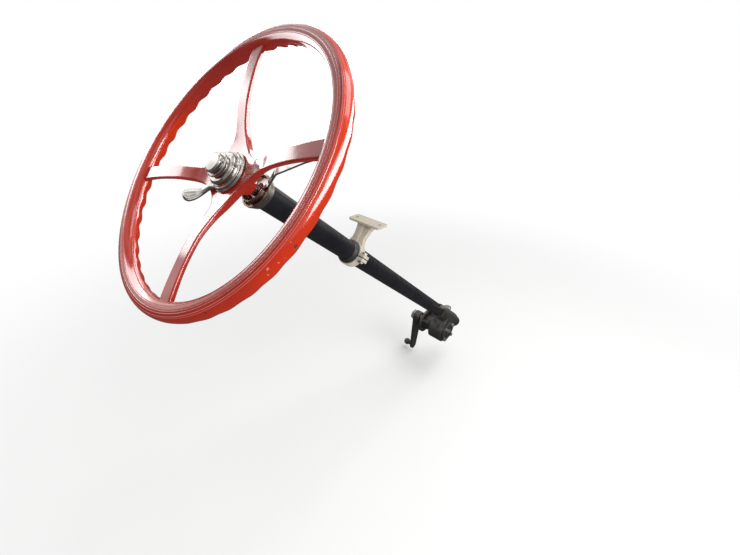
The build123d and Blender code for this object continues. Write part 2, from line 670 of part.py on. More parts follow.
with BuildPart() as clamp_bolts:
    for side in (-1, 1):
        bolt_at = Plane(
            bolts_at.origin + bolts_at.x_dir * (side * EAR_BOLT_X),
            x_dir=bolts_at.x_dir,
            z_dir=bolts_at.z_dir,
        )
        with BuildSketch(bolt_at):
            Circle(EAR_BOLT_R)
        extrude(amount=ear_stack + EAR_NUT_HEIGHT, both=True)
        for end in (-1, 1):
            with BuildSketch(bolt_at.offset(end * (ear_stack + EAR_NUT_HEIGHT / 2))):
                RegularPolygon(EAR_NUT_AF / 2, 6, major_radius=False)
            extrude(amount=EAR_NUT_HEIGHT / 2, both=True)

# Steering gear: one casting with the worm's barrel, the sector's case and the trunnion that
# reaches to the frame rail
gear_side = Plane(origin=(COLUMN_X, 0, 0), x_dir=-UP_COLUMN, z_dir=(1, 0, 0))
case_near = COLUMN_X - CASE_WIDTH / 2
case_far = COLUMN_X + CASE_WIDTH / 2
neck_top_w = height(JACKET_END_S + NECK_GRIP)
barrel_low_w = height(WORM_BARREL_LOW_S)
barrel_top_w = height(WORM_BARREL_TOP_S)
with BuildPart() as gear_housing:
    with BuildSketch(gear_side):
        Circle(CASE_R)
        with Locations((0, GEAR_CENTRES)):
            Rectangle(WORM_SADDLE, WORM_SADDLE_HEIGHT)
        make_hull()
    extrude(amount=CASE_WIDTH / 2, both=True)
    fillet(gear_housing.edges().filter_by(GeomType.CIRCLE), radius=CASE_ROUND)
    revolve(ring_outline(0, WORM_BARREL_R, barrel_low_w, barrel_top_w), axis=COLUMN_AXIS)
    revolve(
        outline(
            (0, barrel_top_w),
            (WORM_BARREL_R, barrel_top_w),
            (NECK_BARREL_R, barrel_top_w + NECK_CONE),
            (NECK_BARREL_R, neck_top_w),
            (0, neck_top_w),
        ),
        axis=COLUMN_AXIS,
    )
    with BuildSketch(Plane.YZ):
        Circle(TRUNNION_R)
    extrude(amount=case_near + SINK)
    with BuildSketch(Plane.YZ):
        Circle(FRAME_FLANGE_R)
    extrude(amount=FRAME_FLANGE_THICKNESS)
    for rib in range(FRAME_BOLT_COUNT):
        turn = radians(FRAME_BOLT_ANGLE + 360 / FRAME_BOLT_COUNT * (rib + 0.5))
        across_rib = Vector(0, -sin(turn), cos(turn))
        with BuildSketch(Plane(origin=(0, 0, 0), x_dir=(1, 0, 0), z_dir=across_rib)):
            with BuildLine():
                Polyline(
                    (FRAME_FLANGE_THICKNESS - SINK, TRUNNION_R - SINK),
                    (FRAME_FLANGE_THICKNESS - SINK, FRAME_FLANGE_R - RIB_INSET),
                    (case_near + SINK, TRUNNION_R + RIB_RISE),
                    (case_near + SINK, TRUNNION_R - SINK),
                    close=True,
                )
            make_face()
        extrude(amount=RIB_THICKNESS / 2, both=True)
    with BuildSketch(Plane.YZ):
        with PolarLocations(FRAME_BOLT_PCD / 2, FRAME_BOLT_COUNT, start_angle=FRAME_BOLT_ANGLE):
            Circle(FRAME_HOLE_R)
    extrude(amount=FRAME_FLANGE_THICKNESS, mode=Mode.SUBTRACT)
    with BuildSketch(Plane.YZ):
        Circle(SECTOR_SHAFT_R + RUNNING)
    extrude(amount=SECTOR_SHAFT_IN + FACE_GAP, mode=Mode.SUBTRACT)
    revolve(
        ring_outline(0, SHAFT_R + RUNNING, barrel_low_w, neck_top_w),
        axis=COLUMN_AXIS,
        mode=Mode.SUBTRACT,
    )
    revolve(
        ring_outline(0, JACKET_R, height(JACKET_END_S), neck_top_w),
        axis=COLUMN_AXIS,
        mode=Mode.SUBTRACT,
    )

with BuildPart() as sector_cover:
    with BuildSketch(Plane.YZ.offset(case_far)):
        Circle(COVER_R)
        with PolarLocations(COVER_BOLT_PCD / 2, COVER_BOLT_COUNT, start_angle=COVER_BOLT_ANGLE):
            Circle(COVER_HOLE_R, mode=Mode.SUBTRACT)
    extrude(amount=COVER_THICKNESS)
    with BuildSketch(Plane.YZ.offset(case_far + COVER_THICKNESS)):
        Circle(ADJUSTER_R)
    extrude(amount=ADJUSTER_LENGTH)

with BuildPart() as worm_end_cover:
    socket_low_w = barrel_low_w - END_COVER_THICKNESS - END_SOCKET_LENGTH
    revolve(
        outline(
            (SWITCH_TUBE_R, barrel_low_w),
            (END_COVER_R, barrel_low_w),
            (END_COVER_R, barrel_low_w - END_COVER_THICKNESS),
            (END_SOCKET_R, barrel_low_w - END_COVER_THICKNESS),
            (END_SOCKET_R, socket_low_w),
            (SWITCH_TUBE_R, socket_low_w),
        ),
        axis=COLUMN_AXIS,
    )

plug_origin = GEAR.offset(PLUG_S).origin
plug_base = Plane(plug_origin, x_dir=GEAR.x_dir, z_dir=GEAR.y_dir)
plug_shoulder = WORM_BARREL_R + PLUG_HEIGHT / 2
with BuildPart() as oil_plug:
    with BuildSketch(plug_base):
        Circle(PLUG_R)
    extrude(amount=plug_shoulder)
    with BuildSketch(plug_base.offset(plug_shoulder)):
        RegularPolygon(PLUG_AF / 2, 6, major_radius=False)
    extrude(amount=PLUG_HEIGHT / 2)
    revolve(
        ring_outline(0, WORM_BARREL_R, barrel_low_w, barrel_top_w),
        axis=COLUMN_AXIS,
        mode=Mode.SUBTRACT,
    )

switch_low_w = socket_low_w - SWITCH_LENGTH
with BuildPart() as light_switch:
    revolve(
        outline(
            (0, socket_low_w),
            (SWITCH_R, socket_low_w),
            (SWITCH_R, switch_low_w),
            (SWITCH_CAP_R, switch_low_w - SWITCH_CAP_LENGTH),
            (0, switch_low_w - SWITCH_CAP_LENGTH),
        ),
        axis=COLUMN_AXIS,
    )
    with BuildSketch(level(0, switch_low_w - SWITCH_CAP_LENGTH)):
        with PolarLocations(TERMINAL_RING_R, TERMINAL_COUNT):
            Circle(TERMINAL_R)
    extrude(amount=-TERMINAL_LENGTH)

# Sector shaft with the drop arm on its outer end, outside the frame rail, its ball forged on it
drop_out = -DROP_HUB_NEAR - DROP_HUB_LENGTH
with BuildPart() as sector_shaft:
    with BuildSketch(Plane.YZ.offset(drop_out - DROP_NUT_HEIGHT)):
        Circle(SECTOR_SHAFT_R)
    extrude(amount=SECTOR_SHAFT_IN - drop_out + DROP_NUT_HEIGHT)

arm_plane = Plane.YZ.offset(drop_out)
with BuildPart() as drop_arm:
    with BuildSketch(arm_plane):
        Circle(DROP_HUB_R)
    extrude(amount=DROP_HUB_LENGTH)
    with BuildSketch(arm_plane):
        Circle(DROP_HUB_R)
        with Locations((0, -DROP_LENGTH)):
            Circle(DROP_EYE_R)
        make_hull()
    extrude(amount=DROP_THICKNESS)
    with BuildSketch(Plane.XZ):
        with BuildLine():
            Polyline(
                (drop_out + DROP_THICKNESS, -DROP_HUB_R),
                (drop_out + DROP_EYE_THICKNESS, -DROP_LENGTH),
                (drop_out + DROP_EYE_THICKNESS, -DROP_LENGTH - 2 * DROP_EYE_R),
                (drop_out + DROP_HUB_LENGTH, -DROP_LENGTH - 2 * DROP_EYE_R),
                (drop_out + DROP_HUB_LENGTH, -DROP_HUB_R),
                close=True,
            )
        make_face()
    extrude(amount=DROP_HUB_R, both=True, mode=Mode.SUBTRACT)
    with BuildSketch(arm_plane):
        Circle(SECTOR_SHAFT_R)
    extrude(amount=DROP_HUB_LENGTH, mode=Mode.SUBTRACT)
    with BuildSketch(arm_plane.offset(-BALL_OUT)):
        with Locations((0, -DROP_LENGTH)):
            Circle(BALL_NECK_R)
    extrude(amount=BALL_OUT)
    with Locations((drop_out - BALL_OUT, 0, -DROP_LENGTH)):
        Sphere(BALL_R)

with BuildPart() as drop_nut:
    with BuildSketch(Plane.YZ.offset(drop_out - DROP_NUT_HEIGHT)):
        RegularPolygon(DROP_NUT_AF / 2, 6, major_radius=False)
        Circle(SECTOR_SHAFT_R, mode=Mode.SUBTRACT)
    extrude(amount=DROP_NUT_HEIGHT)

pieces = {
    "gear_housing": gear_housing,
    "sector_cover": sector_cover,
    "worm_end_cover": worm_end_cover,
    "oil_plug": oil_plug,
    "light_switch": light_switch,
    "column_jacket": column_jacket,
    "lower_bush": lower_bush,
    "control_quadrant": control_quadrant,
    "quadrant_shield": quadrant_shield,
    "spark_lever": levers["spark"],
    "throttle_lever": levers["throttle"],
    "spark_rod": rods["spark"],
    "throttle_rod": rods["throttle"],
    "spark_arm": arms["spark"],
    "throttle_arm": arms["throttle"],
    "dash_bracket": dash_bracket,
    "clamp_cap": clamp_cap,
    "clamp_rubber": clamp_rubber,
    "clamp_bolts": clamp_bolts,
    "switch_tube": switch_tube,
    "switch_lever": switch_lever,
    "horn_button": horn_button,
    "wheel_rim": wheel_rim,
    "wheel_spider": wheel_spider,
    "wheel_nut": wheel_nut,
    "steering_shaft": steering_shaft,
    "sector_shaft": sector_shaft,
    "drop_arm": drop_arm,
    "drop_nut": drop_nut,
}
os.makedirs("parts", exist_ok=True)
for name, piece in pieces.items():
    piece.part.label = name
    export_step(piece.part, f"parts/{name}.step")
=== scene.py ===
"""Looks of the steering wheel and column of an early open car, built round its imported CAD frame.

Sizes are millimetres in the column's own axes: x to the car's right, y square to it up the face
of the wheel, and w up the column from the middle of the wheel's rim. Every mesh is turned into
metres in the row frame when it is made.
"""

import json
import logging
import math
from dataclasses import dataclass
from enum import Enum
from typing import Sequence

import bmesh
import bpy
import numpy as np
from mathutils import Matrix, Vector


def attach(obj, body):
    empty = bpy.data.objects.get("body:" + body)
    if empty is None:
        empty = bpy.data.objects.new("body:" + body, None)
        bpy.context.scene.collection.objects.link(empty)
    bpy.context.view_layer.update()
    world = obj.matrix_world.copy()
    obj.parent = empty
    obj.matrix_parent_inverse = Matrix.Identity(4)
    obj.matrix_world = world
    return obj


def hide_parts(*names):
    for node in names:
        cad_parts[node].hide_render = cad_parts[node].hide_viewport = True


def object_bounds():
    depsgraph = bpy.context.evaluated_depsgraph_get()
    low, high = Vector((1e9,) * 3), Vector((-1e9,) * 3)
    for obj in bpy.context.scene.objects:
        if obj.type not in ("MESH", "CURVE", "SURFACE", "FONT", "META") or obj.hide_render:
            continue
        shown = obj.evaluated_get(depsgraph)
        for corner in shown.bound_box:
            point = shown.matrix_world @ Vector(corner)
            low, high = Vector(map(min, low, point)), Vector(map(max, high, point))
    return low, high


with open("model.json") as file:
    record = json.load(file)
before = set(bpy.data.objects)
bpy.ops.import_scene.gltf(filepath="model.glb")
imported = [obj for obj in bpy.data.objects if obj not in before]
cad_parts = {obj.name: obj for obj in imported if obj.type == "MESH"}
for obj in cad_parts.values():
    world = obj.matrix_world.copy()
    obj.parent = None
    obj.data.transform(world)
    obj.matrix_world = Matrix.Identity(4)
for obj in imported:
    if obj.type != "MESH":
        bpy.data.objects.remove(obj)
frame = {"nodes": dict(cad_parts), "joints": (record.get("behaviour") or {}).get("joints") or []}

MM = 0.001
CAD_BOX = [list(corner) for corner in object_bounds()]
# attribute of the darker crimson, partly aged colour and partly painted shade
AGE_AND_SHADE = "age_and_shade_colour"
# attribute of the painted highlight in the rim's grooves
GROOVE_GLINT = "painted_groove_glint"
# points of a new mesh that are nearer than this, in metres, are one
SAME_POINT = 1e-6
WHITE = (1.0, 1.0, 1.0, 1.0)
Colour = tuple[float, float, float]
Direction = tuple[float, float, float]
Point = tuple[float, float]
# where a smooth change starts and where it ends
Span = tuple[float, float]
# radius, height and corner radius of a turned profile
Corner = tuple[float, float, float]
# a row point's three coordinates and a radius, in metres
Spot = tuple[float, float, float, float]
log = logging.getLogger("steering")


class Body(Enum):
    """The three bodies that pieces ride on."""

    COLUMN = "column"
    WHEEL = "wheel"
    DROP = "drop"


class Slot(Enum):
    """The record's material slots."""

    WHEEL_RED = "wheel_red"
    NICKEL = "nickel"
    JACKET = "jacket_black"
    QUADRANT = "quadrant_bronze"
    BRACKET = "bracket_cream"
    RUBBER = "rubber"
    GEAR = "gear_paint"
    STEEL = "steel"
    SWITCH = "switch_black"


class Look(Enum):
    """Which finish a piece takes within its slot."""

    OF_SLOT = "the slot's own"
    WARM_PLATE = "plating with a brown tarnish"


# Axes and mesh making


@dataclass(frozen=True)
class ColumnAxes:
    """The column's own axes in the row frame, in metres."""

    centre: np.ndarray
    right: np.ndarray
    across: np.ndarray
    up: np.ndarray

    @classmethod
    def from_joint(cls, name: str) -> "ColumnAxes":
        """Read the wheel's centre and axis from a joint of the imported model.

        Args:
            name: The joint that turns the wheel.

        Returns:
            Axes with their centre in the middle of the rim.
        """
        joint = next(j for j in frame["joints"] if j["name"] == name)
        up = np.array(joint["axis"], float)
        up /= np.linalg.norm(up)
        right = np.array([1.0, 0.0, 0.0])
        return cls(np.array(joint["pos_m"], float), right, np.cross(up, right), up)

    def place(self, x: np.ndarray, y: np.ndarray, w: np.ndarray) -> np.ndarray:
        """Turn column coordinates in millimetres into row points in metres.

        Args:
            x: Distances to the car's right.
            y: Distances up the wheel's face.
            w: Heights up the column.

        Returns:
            An array of points with the three arrays' common shape and a last axis of 3.
        """
        x, y, w = (v[..., None] for v in np.broadcast_arrays(x, y, w))
        return self.centre + MM * (x * self.right + y * self.across + w * self.up)

    def place_turned(self, degrees: float, x: np.ndarray, y: np.ndarray, w: np.ndarray) -> np.ndarray:
        """Place points that are first turned about the column's axis, from x towards y."""
        c, s = math.cos(math.radians(degrees)), math.sin(math.radians(degrees))
        return self.place(x * c - y * s, x * s + y * c, w)

    def polar(self, angle: np.ndarray, radius: np.ndarray, w: np.ndarray) -> np.ndarray:
        """Turn an angle in radians, a radius and a height into row points in metres."""
        return self.place(radius * np.cos(angle), radius * np.sin(angle), w)

    def spot(self, degrees: float, radius: float, w: float, size: float) -> Spot:
        """Return the spot of a size at an angle, a radius and a height."""
        return (*(float(c) for c in self.polar(np.radians(degrees), radius, w)), size * MM)


def smooth_max(a: np.ndarray, b: np.ndarray, blend: float) -> np.ndarray:
    """Return the larger of two surfaces with their meeting line rounded.

    Where the two differ by less than blend, the larger is raised by a parabola of their
    difference, so that the slope is continuous.

    Args:
        a: Heights of one surface.
        b: Heights of the other.
        blend: The difference at which the rounding ends.

    Returns:
        The blended heights.
    """
    overlap = np.maximum(blend - np.abs(a - b), 0.0)
    return np.maximum(a, b) + overlap * overlap / (4.0 * blend)


def smooth_step(value: np.ndarray, low: float, high: float) -> np.ndarray:
    """Rise from 0 at low to 1 at high by the cubic 3t² - 2t³."""
    t = np.clip((value - low) / (high - low), 0.0, 1.0)
    return t * t * (3.0 - 2.0 * t)


def hump(value: np.ndarray, middle: float, spread: float) -> np.ndarray:
    """Return the Gaussian exp(-t²), where t is the distance from the middle over the spread."""
    return np.exp(-(((value - middle) / spread) ** 2))


def quarter_round(share: np.ndarray) -> np.ndarray:
    """Rise from 0 to 1 as a quarter circle while the share goes from 0 to 1."""
    return np.sqrt(1 - (1 - np.clip(share, 0, 1)) ** 2)


def eased(points: Sequence[Point], at: np.ndarray) -> np.ndarray:
    """Read a smooth curve through a few points.

    Each span is a cubic whose end slopes are the mean slopes of its neighbours.

    Args:
        points: Pairs of position and value, in rising order of position.
        at: Positions to read.

    Returns:
        The curve's values there, held level beyond the first and last point.
    """
    px, py = np.array(points, float).T
    slope = np.gradient(py, px)
    at = np.clip(at, px[0], px[-1])
    i = np.clip(np.searchsorted(px, at) - 1, 0, len(px) - 2)
    span = px[i + 1] - px[i]
    t = (at - px[i]) / span
    start = py[i] * (1 + 2 * t) * (1 - t) ** 2 + slope[i] * span * t * (1 - t) ** 2
    end = py[i + 1] * (3 - 2 * t) * t**2 - slope[i + 1] * span * t**2 * (1 - t)
    return start + end


def rounded(corners: Sequence[Corner], steps: int = 5) -> np.ndarray:
    """Return a profile whose corners are arcs.

    Each arc touches both sides of its corner at radius / tan(half the corner's angle) from it,
    and its points are a quadratic curve between those touching points.

    Args:
        corners: Triples of radius, height and corner radius.
        steps: Points along each arc.

    Returns:
        An array of profile points.
    """
    straight = 0.9999  # cosine past which a corner counts as straight
    share = 0.49  # the most of a side that an arc may take
    made: list[np.ndarray] = []
    for i, (r, w, fillet) in enumerate(corners):
        here = np.array([r, w])
        if fillet == 0 or i in (0, len(corners) - 1):
            made.append(here[None])
            continue
        back = np.array(corners[i - 1][:2]) - here
        ahead = np.array(corners[i + 1][:2]) - here
        reach_back, reach_ahead = np.linalg.norm(back), np.linalg.norm(ahead)
        half = 0.5 * math.acos(np.clip(back @ ahead / (reach_back * reach_ahead), -straight, straight))
        cut = min(fillet / math.tan(half), share * reach_back, share * reach_ahead)
        start, end = here + back / reach_back * cut, here + ahead / reach_ahead * cut
        t = np.linspace(0, 1, steps)[:, None]
        made.append(start * (1 - t) ** 2 + 2 * here * t * (1 - t) + end * t**2)
    return np.concatenate(made)


def linked(name: str, data: bpy.types.ID) -> bpy.types.Object:
    """Return a new object that shows the data, linked to the scene.

    Args:
        name: The object's name.
        data: Its mesh, camera or light.

    Returns:
        The new object.
    """
    made = bpy.data.objects.new(name, data)
    bpy.context.scene.collection.objects.link(made)
    return made


def smooth_object(name: str, mesh: bpy.types.Mesh, sharp: float) -> bpy.types.Object:
    """Shade a mesh smooth and show it as an object.

    Args:
        name: The object's name.
        mesh: The finished mesh.
        sharp: Edges that turn by more degrees than this stay crisp.

    Returns:
        The new object, linked to the scene.
    """
    mesh.polygons.foreach_set("use_smooth", np.ones(len(mesh.polygons), bool))
    mesh.set_sharp_from_angle(angle=math.radians(sharp))
    return linked(name, mesh)


def mesh_object(
    name: str, grids: Sequence[np.ndarray], sharp: float = 40.0, layers: dict[str, list] | None = None
) -> bpy.types.Object:
    """Join grids of points into one smooth mesh whose faces point outwards.

    Args:
        name: The piece's name.
        grids: Arrays of shape (rows, columns, 3), in metres.
        sharp: Edges that turn by more degrees than this stay crisp.
        layers: By attribute name, for each grid, each point's value from 0 to 1.

    Returns:
        The new object, linked to the scene.
    """
    points, faces, start = [], [], 0
    for grid in grids:
        rows, columns = grid.shape[:2]
        index = start + np.arange(rows * columns).reshape(rows, columns)
        corners = (index[:-1, :-1], index[:-1, 1:], index[1:, 1:], index[1:, :-1])
        faces.append(np.stack(corners, -1).reshape(-1, 4))
        points.append(grid.reshape(-1, 3))
        start += rows * columns
    mesh = bpy.data.meshes.new(name)
    mesh.from_pydata(np.concatenate(points).tolist(), [], np.concatenate(faces).tolist())
    for label, parts in (layers or {}).items():
        values = np.concatenate([part.ravel() for part in parts]).astype(np.float32)
        mesh.attributes.new(label, "FLOAT", "POINT").data.foreach_set("value", values)
    tidy = bmesh.new()
    tidy.from_mesh(mesh)
    bmesh.ops.remove_doubles(tidy, verts=tidy.verts, dist=SAME_POINT)
    bmesh.ops.recalc_face_normals(tidy, faces=tidy.faces)
    tidy.to_mesh(mesh)
    tidy.free()
    return smooth_object(name, mesh, sharp)


def turned(axes: ColumnAxes, profile: np.ndarray, turns: int = 96) -> np.ndarray:
    """Carry a profile of radius and height round the column's axis as a closed grid."""
    angle = np.linspace(0, 2 * np.pi, turns + 1)[None]
    return axes.polar(angle, profile[:, :1], profile[:, 1:])


def settle(piece: bpy.types.Object, body: Body, finish: bpy.types.Material) -> None:
    """Dress a piece, set it on its body and report it.

    Args:
        piece: The finished object.
        body: The CAD body that it rides on.
        finish: Its material.
    """
    piece.data.materials.clear()
    piece.data.materials.append(finish)
    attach(piece, body.value)
    log.info("%s: %d faces on %s", piece.name, len(piece.data.polygons), body.value)


# Shader building


class Graph:
    """Adds nodes to one shader tree and links them by value."""

    def __init__(self, tree: bpy.types.NodeTree) -> None:
        """Keep the tree that nodes are added to."""
        self.tree = tree

    def add(self, kind: str, inputs: dict | None = None, **settings: object) -> bpy.types.Node:
        """Add a node with its settings, and feed its inputs by name or number.

        Args:
            kind: The node's class name.
            inputs: Values or sockets for its inputs.
            **settings: Properties of the node.

        Returns:
            The new node.
        """
        node = self.tree.nodes.new(kind)
        for key, value in settings.items():
            setattr(node, key, value)
        for key, value in (inputs or {}).items():
            self.feed(node.inputs[key], value)
        return node

    def feed(self, socket: bpy.types.NodeSocket, value: object) -> None:
        """Link a socket to another, or set its value.

        Args:
            socket: The input to feed.
            value: Another socket, a number, a vector or a colour.
        """
        if isinstance(value, bpy.types.NodeSocket):
            self.tree.links.new(value, socket)
        else:
            socket.default_value = value

    def math(self, operation: str, a: object, b: object = 0.0, clamp: bool = False) -> object:
        """Return the output of a math node."""
        return self.add("ShaderNodeMath", {0: a, 1: b}, operation=operation, use_clamp=clamp).outputs[0]

    def plus(self, a: object, b: object) -> object:
        """Return a + b."""
        return self.math("ADD", a, b)

    def minus(self, a: object, b: object) -> object:
        """Return a - b."""
        return self.math("SUBTRACT", a, b)

    def times(self, a: object, b: object) -> object:
        """Return a times b."""
        return self.math("MULTIPLY", a, b)

    def larger(self, a: object, b: object) -> object:
        """Return the larger of a and b."""
        return self.math("MAXIMUM", a, b)

    def vector(self, operation: str, a: object, b: object = (0.0, 0.0, 0.0)) -> object:
        """Return the number that a vector math node gives, such as a dot product or a length."""
        return self.add("ShaderNodeVectorMath", {0: a, 1: b}, operation=operation).outputs["Value"]

    def mix(self, factor: object, a: object, b: object) -> object:
        """Return a colour that goes from a to b as the factor goes from 0 to 1."""
        a, b = (v if isinstance(v, bpy.types.NodeSocket) else (*v, 1.0) for v in (a, b))
        return self.add("ShaderNodeMix", {0: factor, 6: a, 7: b}, data_type="RGBA").outputs[2]

    def mix_value(self, factor: object, a: object, b: object) -> object:
        """Return a value that goes from a to b as the factor goes from 0 to 1."""
        return self.add("ShaderNodeMix", {0: factor, 2: a, 3: b}, data_type="FLOAT").outputs[0]

    def span(self, value: object, low: float, high: float, start: float = 0.0, end: float = 1.0) -> object:
        """Return a value that goes smoothly from start to end as the input goes from low to high."""
        inputs = {"Value": value, "From Min": low, "From Max": high, "To Min": start, "To Max": end}
        return self.add("ShaderNodeMapRange", inputs, interpolation_type="SMOOTHSTEP").outputs[0]

    def position(self, stretch: Sequence[float] = (1, 1, 1), turn: Sequence[float] = (0, 0, 0)) -> object:
        """Return the piece's own coordinates, turned and stretched for a pattern.

        Args:
            stretch: Scale along each axis after the turn.
            turn: Turn about each axis in radians.

        Returns:
            A vector socket.
        """
        place = self.add("ShaderNodeTexCoord").outputs["Object"]
        inputs = {"Vector": place, "Rotation": turn, "Scale": stretch}
        return self.add("ShaderNodeMapping", inputs, vector_type="TEXTURE").outputs[0]

    def noise(self, scale: float, detail: float = 3.0, rough: float = 0.55, vector: object = None) -> object:
        """Return a noise value at a scale in cells per metre."""
        inputs = {"Vector": vector or self.position(), "Scale": scale, "Detail": detail, "Roughness": rough}
        return self.add("ShaderNodeTexNoise", inputs).outputs[0]

    def bump(self, height: object, distance: float, strength: float) -> object:
        """Return a normal bent by a height, whose 1 stands for the distance in metres."""
        inputs = {"Height": height, "Distance": distance, "Strength": strength}
        return self.add("ShaderNodeBump", inputs).outputs[0]


class Effects:
    """Shader node groups that several finishes share, each built once."""

    def __init__(self) -> None:
        """Build every group."""
        self.wear = self._edge_wear()
        self.mottle = self._mottle()
        self.scuffs = self._scuffs()
        self.dust = self._dust()
        self.nick = self._nick()

    @staticmethod
    def _group(name: str, inputs: dict[str, object], output: str) -> tuple:
        """Start a group with named inputs and one output.

        Args:
            name: The group's name.
            inputs: Default values by input name; a triple makes a vector socket.
            output: Name of its value output.

        Returns:
            The group, a graph on it, the sockets that it is given and those that it puts out.
        """
        group = bpy.data.node_groups.new(name, "ShaderNodeTree")
        for label, value in inputs.items():
            kind = "NodeSocketVector" if isinstance(value, tuple) else "NodeSocketFloat"
            group.interface.new_socket(label, in_out="INPUT", socket_type=kind).default_value = value
        group.interface.new_socket(output, in_out="OUTPUT", socket_type="NodeSocketFloat")
        graph = Graph(group)
        return group, graph, graph.add("NodeGroupInput").outputs, graph.add("NodeGroupOutput").inputs

    def _edge_wear(self) -> bpy.types.NodeTree:
        """Build a mask of rubbed edges: where an eased normal leaves the true one, broken by noise.

        Returns:
            The group.
        """
        inputs = {"Radius": 0.001, "Amount": 1.0, "Scale": 400.0}
        group, g, given, out = self._group("edge_wear", inputs, "Mask")
        eased_normal = g.add("ShaderNodeBevel", {"Radius": given["Radius"]}, samples=4).outputs[0]
        true_normal = g.add("ShaderNodeNewGeometry").outputs["Normal"]
        edge = g.span(g.vector("DOT_PRODUCT", eased_normal, true_normal), low=0.985, high=0.86)
        broken = g.span(g.noise(given["Scale"], detail=4.0, rough=0.7), low=0.38, high=0.62)
        mask = g.times(edge, g.times(broken, given["Amount"]))
        g.feed(out["Mask"], g.math("MINIMUM", mask, 1.0))
        return group

    def _mottle(self) -> bpy.types.NodeTree:
        """Build a slow uneven value, as of aged moulding, plating or paint.

        Returns:
            The group.
        """
        group, g, given, out = self._group("mottle", {"Scale": 25.0, "Contrast": 1.0}, "Value")
        wide = g.noise(given["Scale"], detail=4.0, rough=0.6)
        shifted = g.times(g.minus(wide, 0.5), given["Contrast"])
        g.feed(out["Value"], g.math("ADD", shifted, 0.5, clamp=True))
        return group

    def _scuffs(self) -> bpy.types.NodeTree:
        """Build a mask of fine scratches in three directions.

        Each is noise drawn out into thin lines and thresholded, and shows in patches.

        Returns:
            The group.
        """
        group, g, given, out = self._group("scuffs", {"Density": 0.5, "Scale": 1.0}, "Mask")
        total: object = 0.0
        # the turn of each direction in radians, and the scale of its patches
        for turn, patches in (((0.3, 0.2, 0.9), 18.0), ((1.1, 0.4, 2.2), 25.0), ((0.7, 1.3, 0.1), 32.0)):
            drawn = {0: g.position((0.012, 0.0006, 0.0012), turn), "Scale": given["Scale"]}
            drawn_out = g.add("ShaderNodeVectorMath", drawn, operation="SCALE").outputs[0]
            line = g.span(g.noise(1.0, 2.0, 0.6, drawn_out), low=0.7, high=0.76)
            patch = g.span(g.noise(patches, detail=2.0), low=0.56, high=0.7)
            total = g.larger(total, g.times(line, patch))
        g.feed(out["Mask"], g.times(total, given["Density"]))
        return group

    def _dust(self) -> bpy.types.NodeTree:
        """Build a mask of dust that settles where the surface faces up, broken by noise.

        Returns:
            The group.
        """
        group, g, given, out = self._group("dust", {"Amount": 0.5, "Scale": 90.0}, "Mask")
        normal = g.add("ShaderNodeTexCoord").outputs["Normal"]
        upward = g.add("ShaderNodeSeparateXYZ", {0: normal}).outputs["Z"]
        facing = g.span(upward, low=0.1, high=0.9)
        broken = g.span(g.noise(given["Scale"], detail=6.0, rough=0.65), low=0.35, high=0.7)
        g.feed(out["Mask"], g.times(g.times(facing, broken), given["Amount"]))
        return group

    def _nick(self) -> bpy.types.NodeTree:
        """Build a mask of one chipped spot round a point, its edge made ragged by noise.

        Returns:
            The group.
        """
        inputs = {"Centre": (0.0, 0.0, 0.0), "Radius": 0.003}
        group, g, given, out = self._group("nick", inputs, "Mask")
        reach = g.math("DIVIDE", g.vector("DISTANCE", g.position(), given["Centre"]), given["Radius"])
        ragged = g.times(g.minus(g.noise(500.0), 0.5), 1.4)
        g.feed(out["Mask"], g.span(g.plus(reach, ragged), low=1.0, high=0.75))
        return group


class Finish:
    """A material under way: its graph, its shader and the shared effects."""

    def __init__(self, name: str, effects: Effects) -> None:
        """Start a material with only its output and its surface shader.

        Args:
            name: The material's name.
            effects: The shared groups.
        """
        self.material = bpy.data.materials.new(name)
        self.material.use_nodes = True
        self.effects = effects
        self.graph = Graph(self.material.node_tree)
        self.shader = self.material.node_tree.nodes["Principled BSDF"]

    def effect(self, group: bpy.types.NodeTree, **inputs: object) -> object:
        """Place a shared group with its own values and return its output."""
        return self.graph.add("ShaderNodeGroup", inputs, node_tree=group).outputs[0]

    def surface(self, **inputs: object) -> None:
        """Feed the shader.

        Args:
            **inputs: Values or sockets by input, with underscores for the spaces in their names.
        """
        for key, value in inputs.items():
            self.graph.feed(self.shader.inputs[key.replace("_", " ")], value)


@dataclass(frozen=True)
class Recipe:
    """A kind of finish; each kind says in dress() what its surface is made of."""

    name: str

    def dress(self, made: Finish) -> None:
        """Feed the material's shader."""
        raise NotImplementedError

    def build(self, effects: Effects) -> bpy.types.Material:
        """Make the material.

        Args:
            effects: The shared groups.

        Returns:
            The finished material.
        """
        made = Finish(self.name, effects)
        self.dress(made)
        return made.material


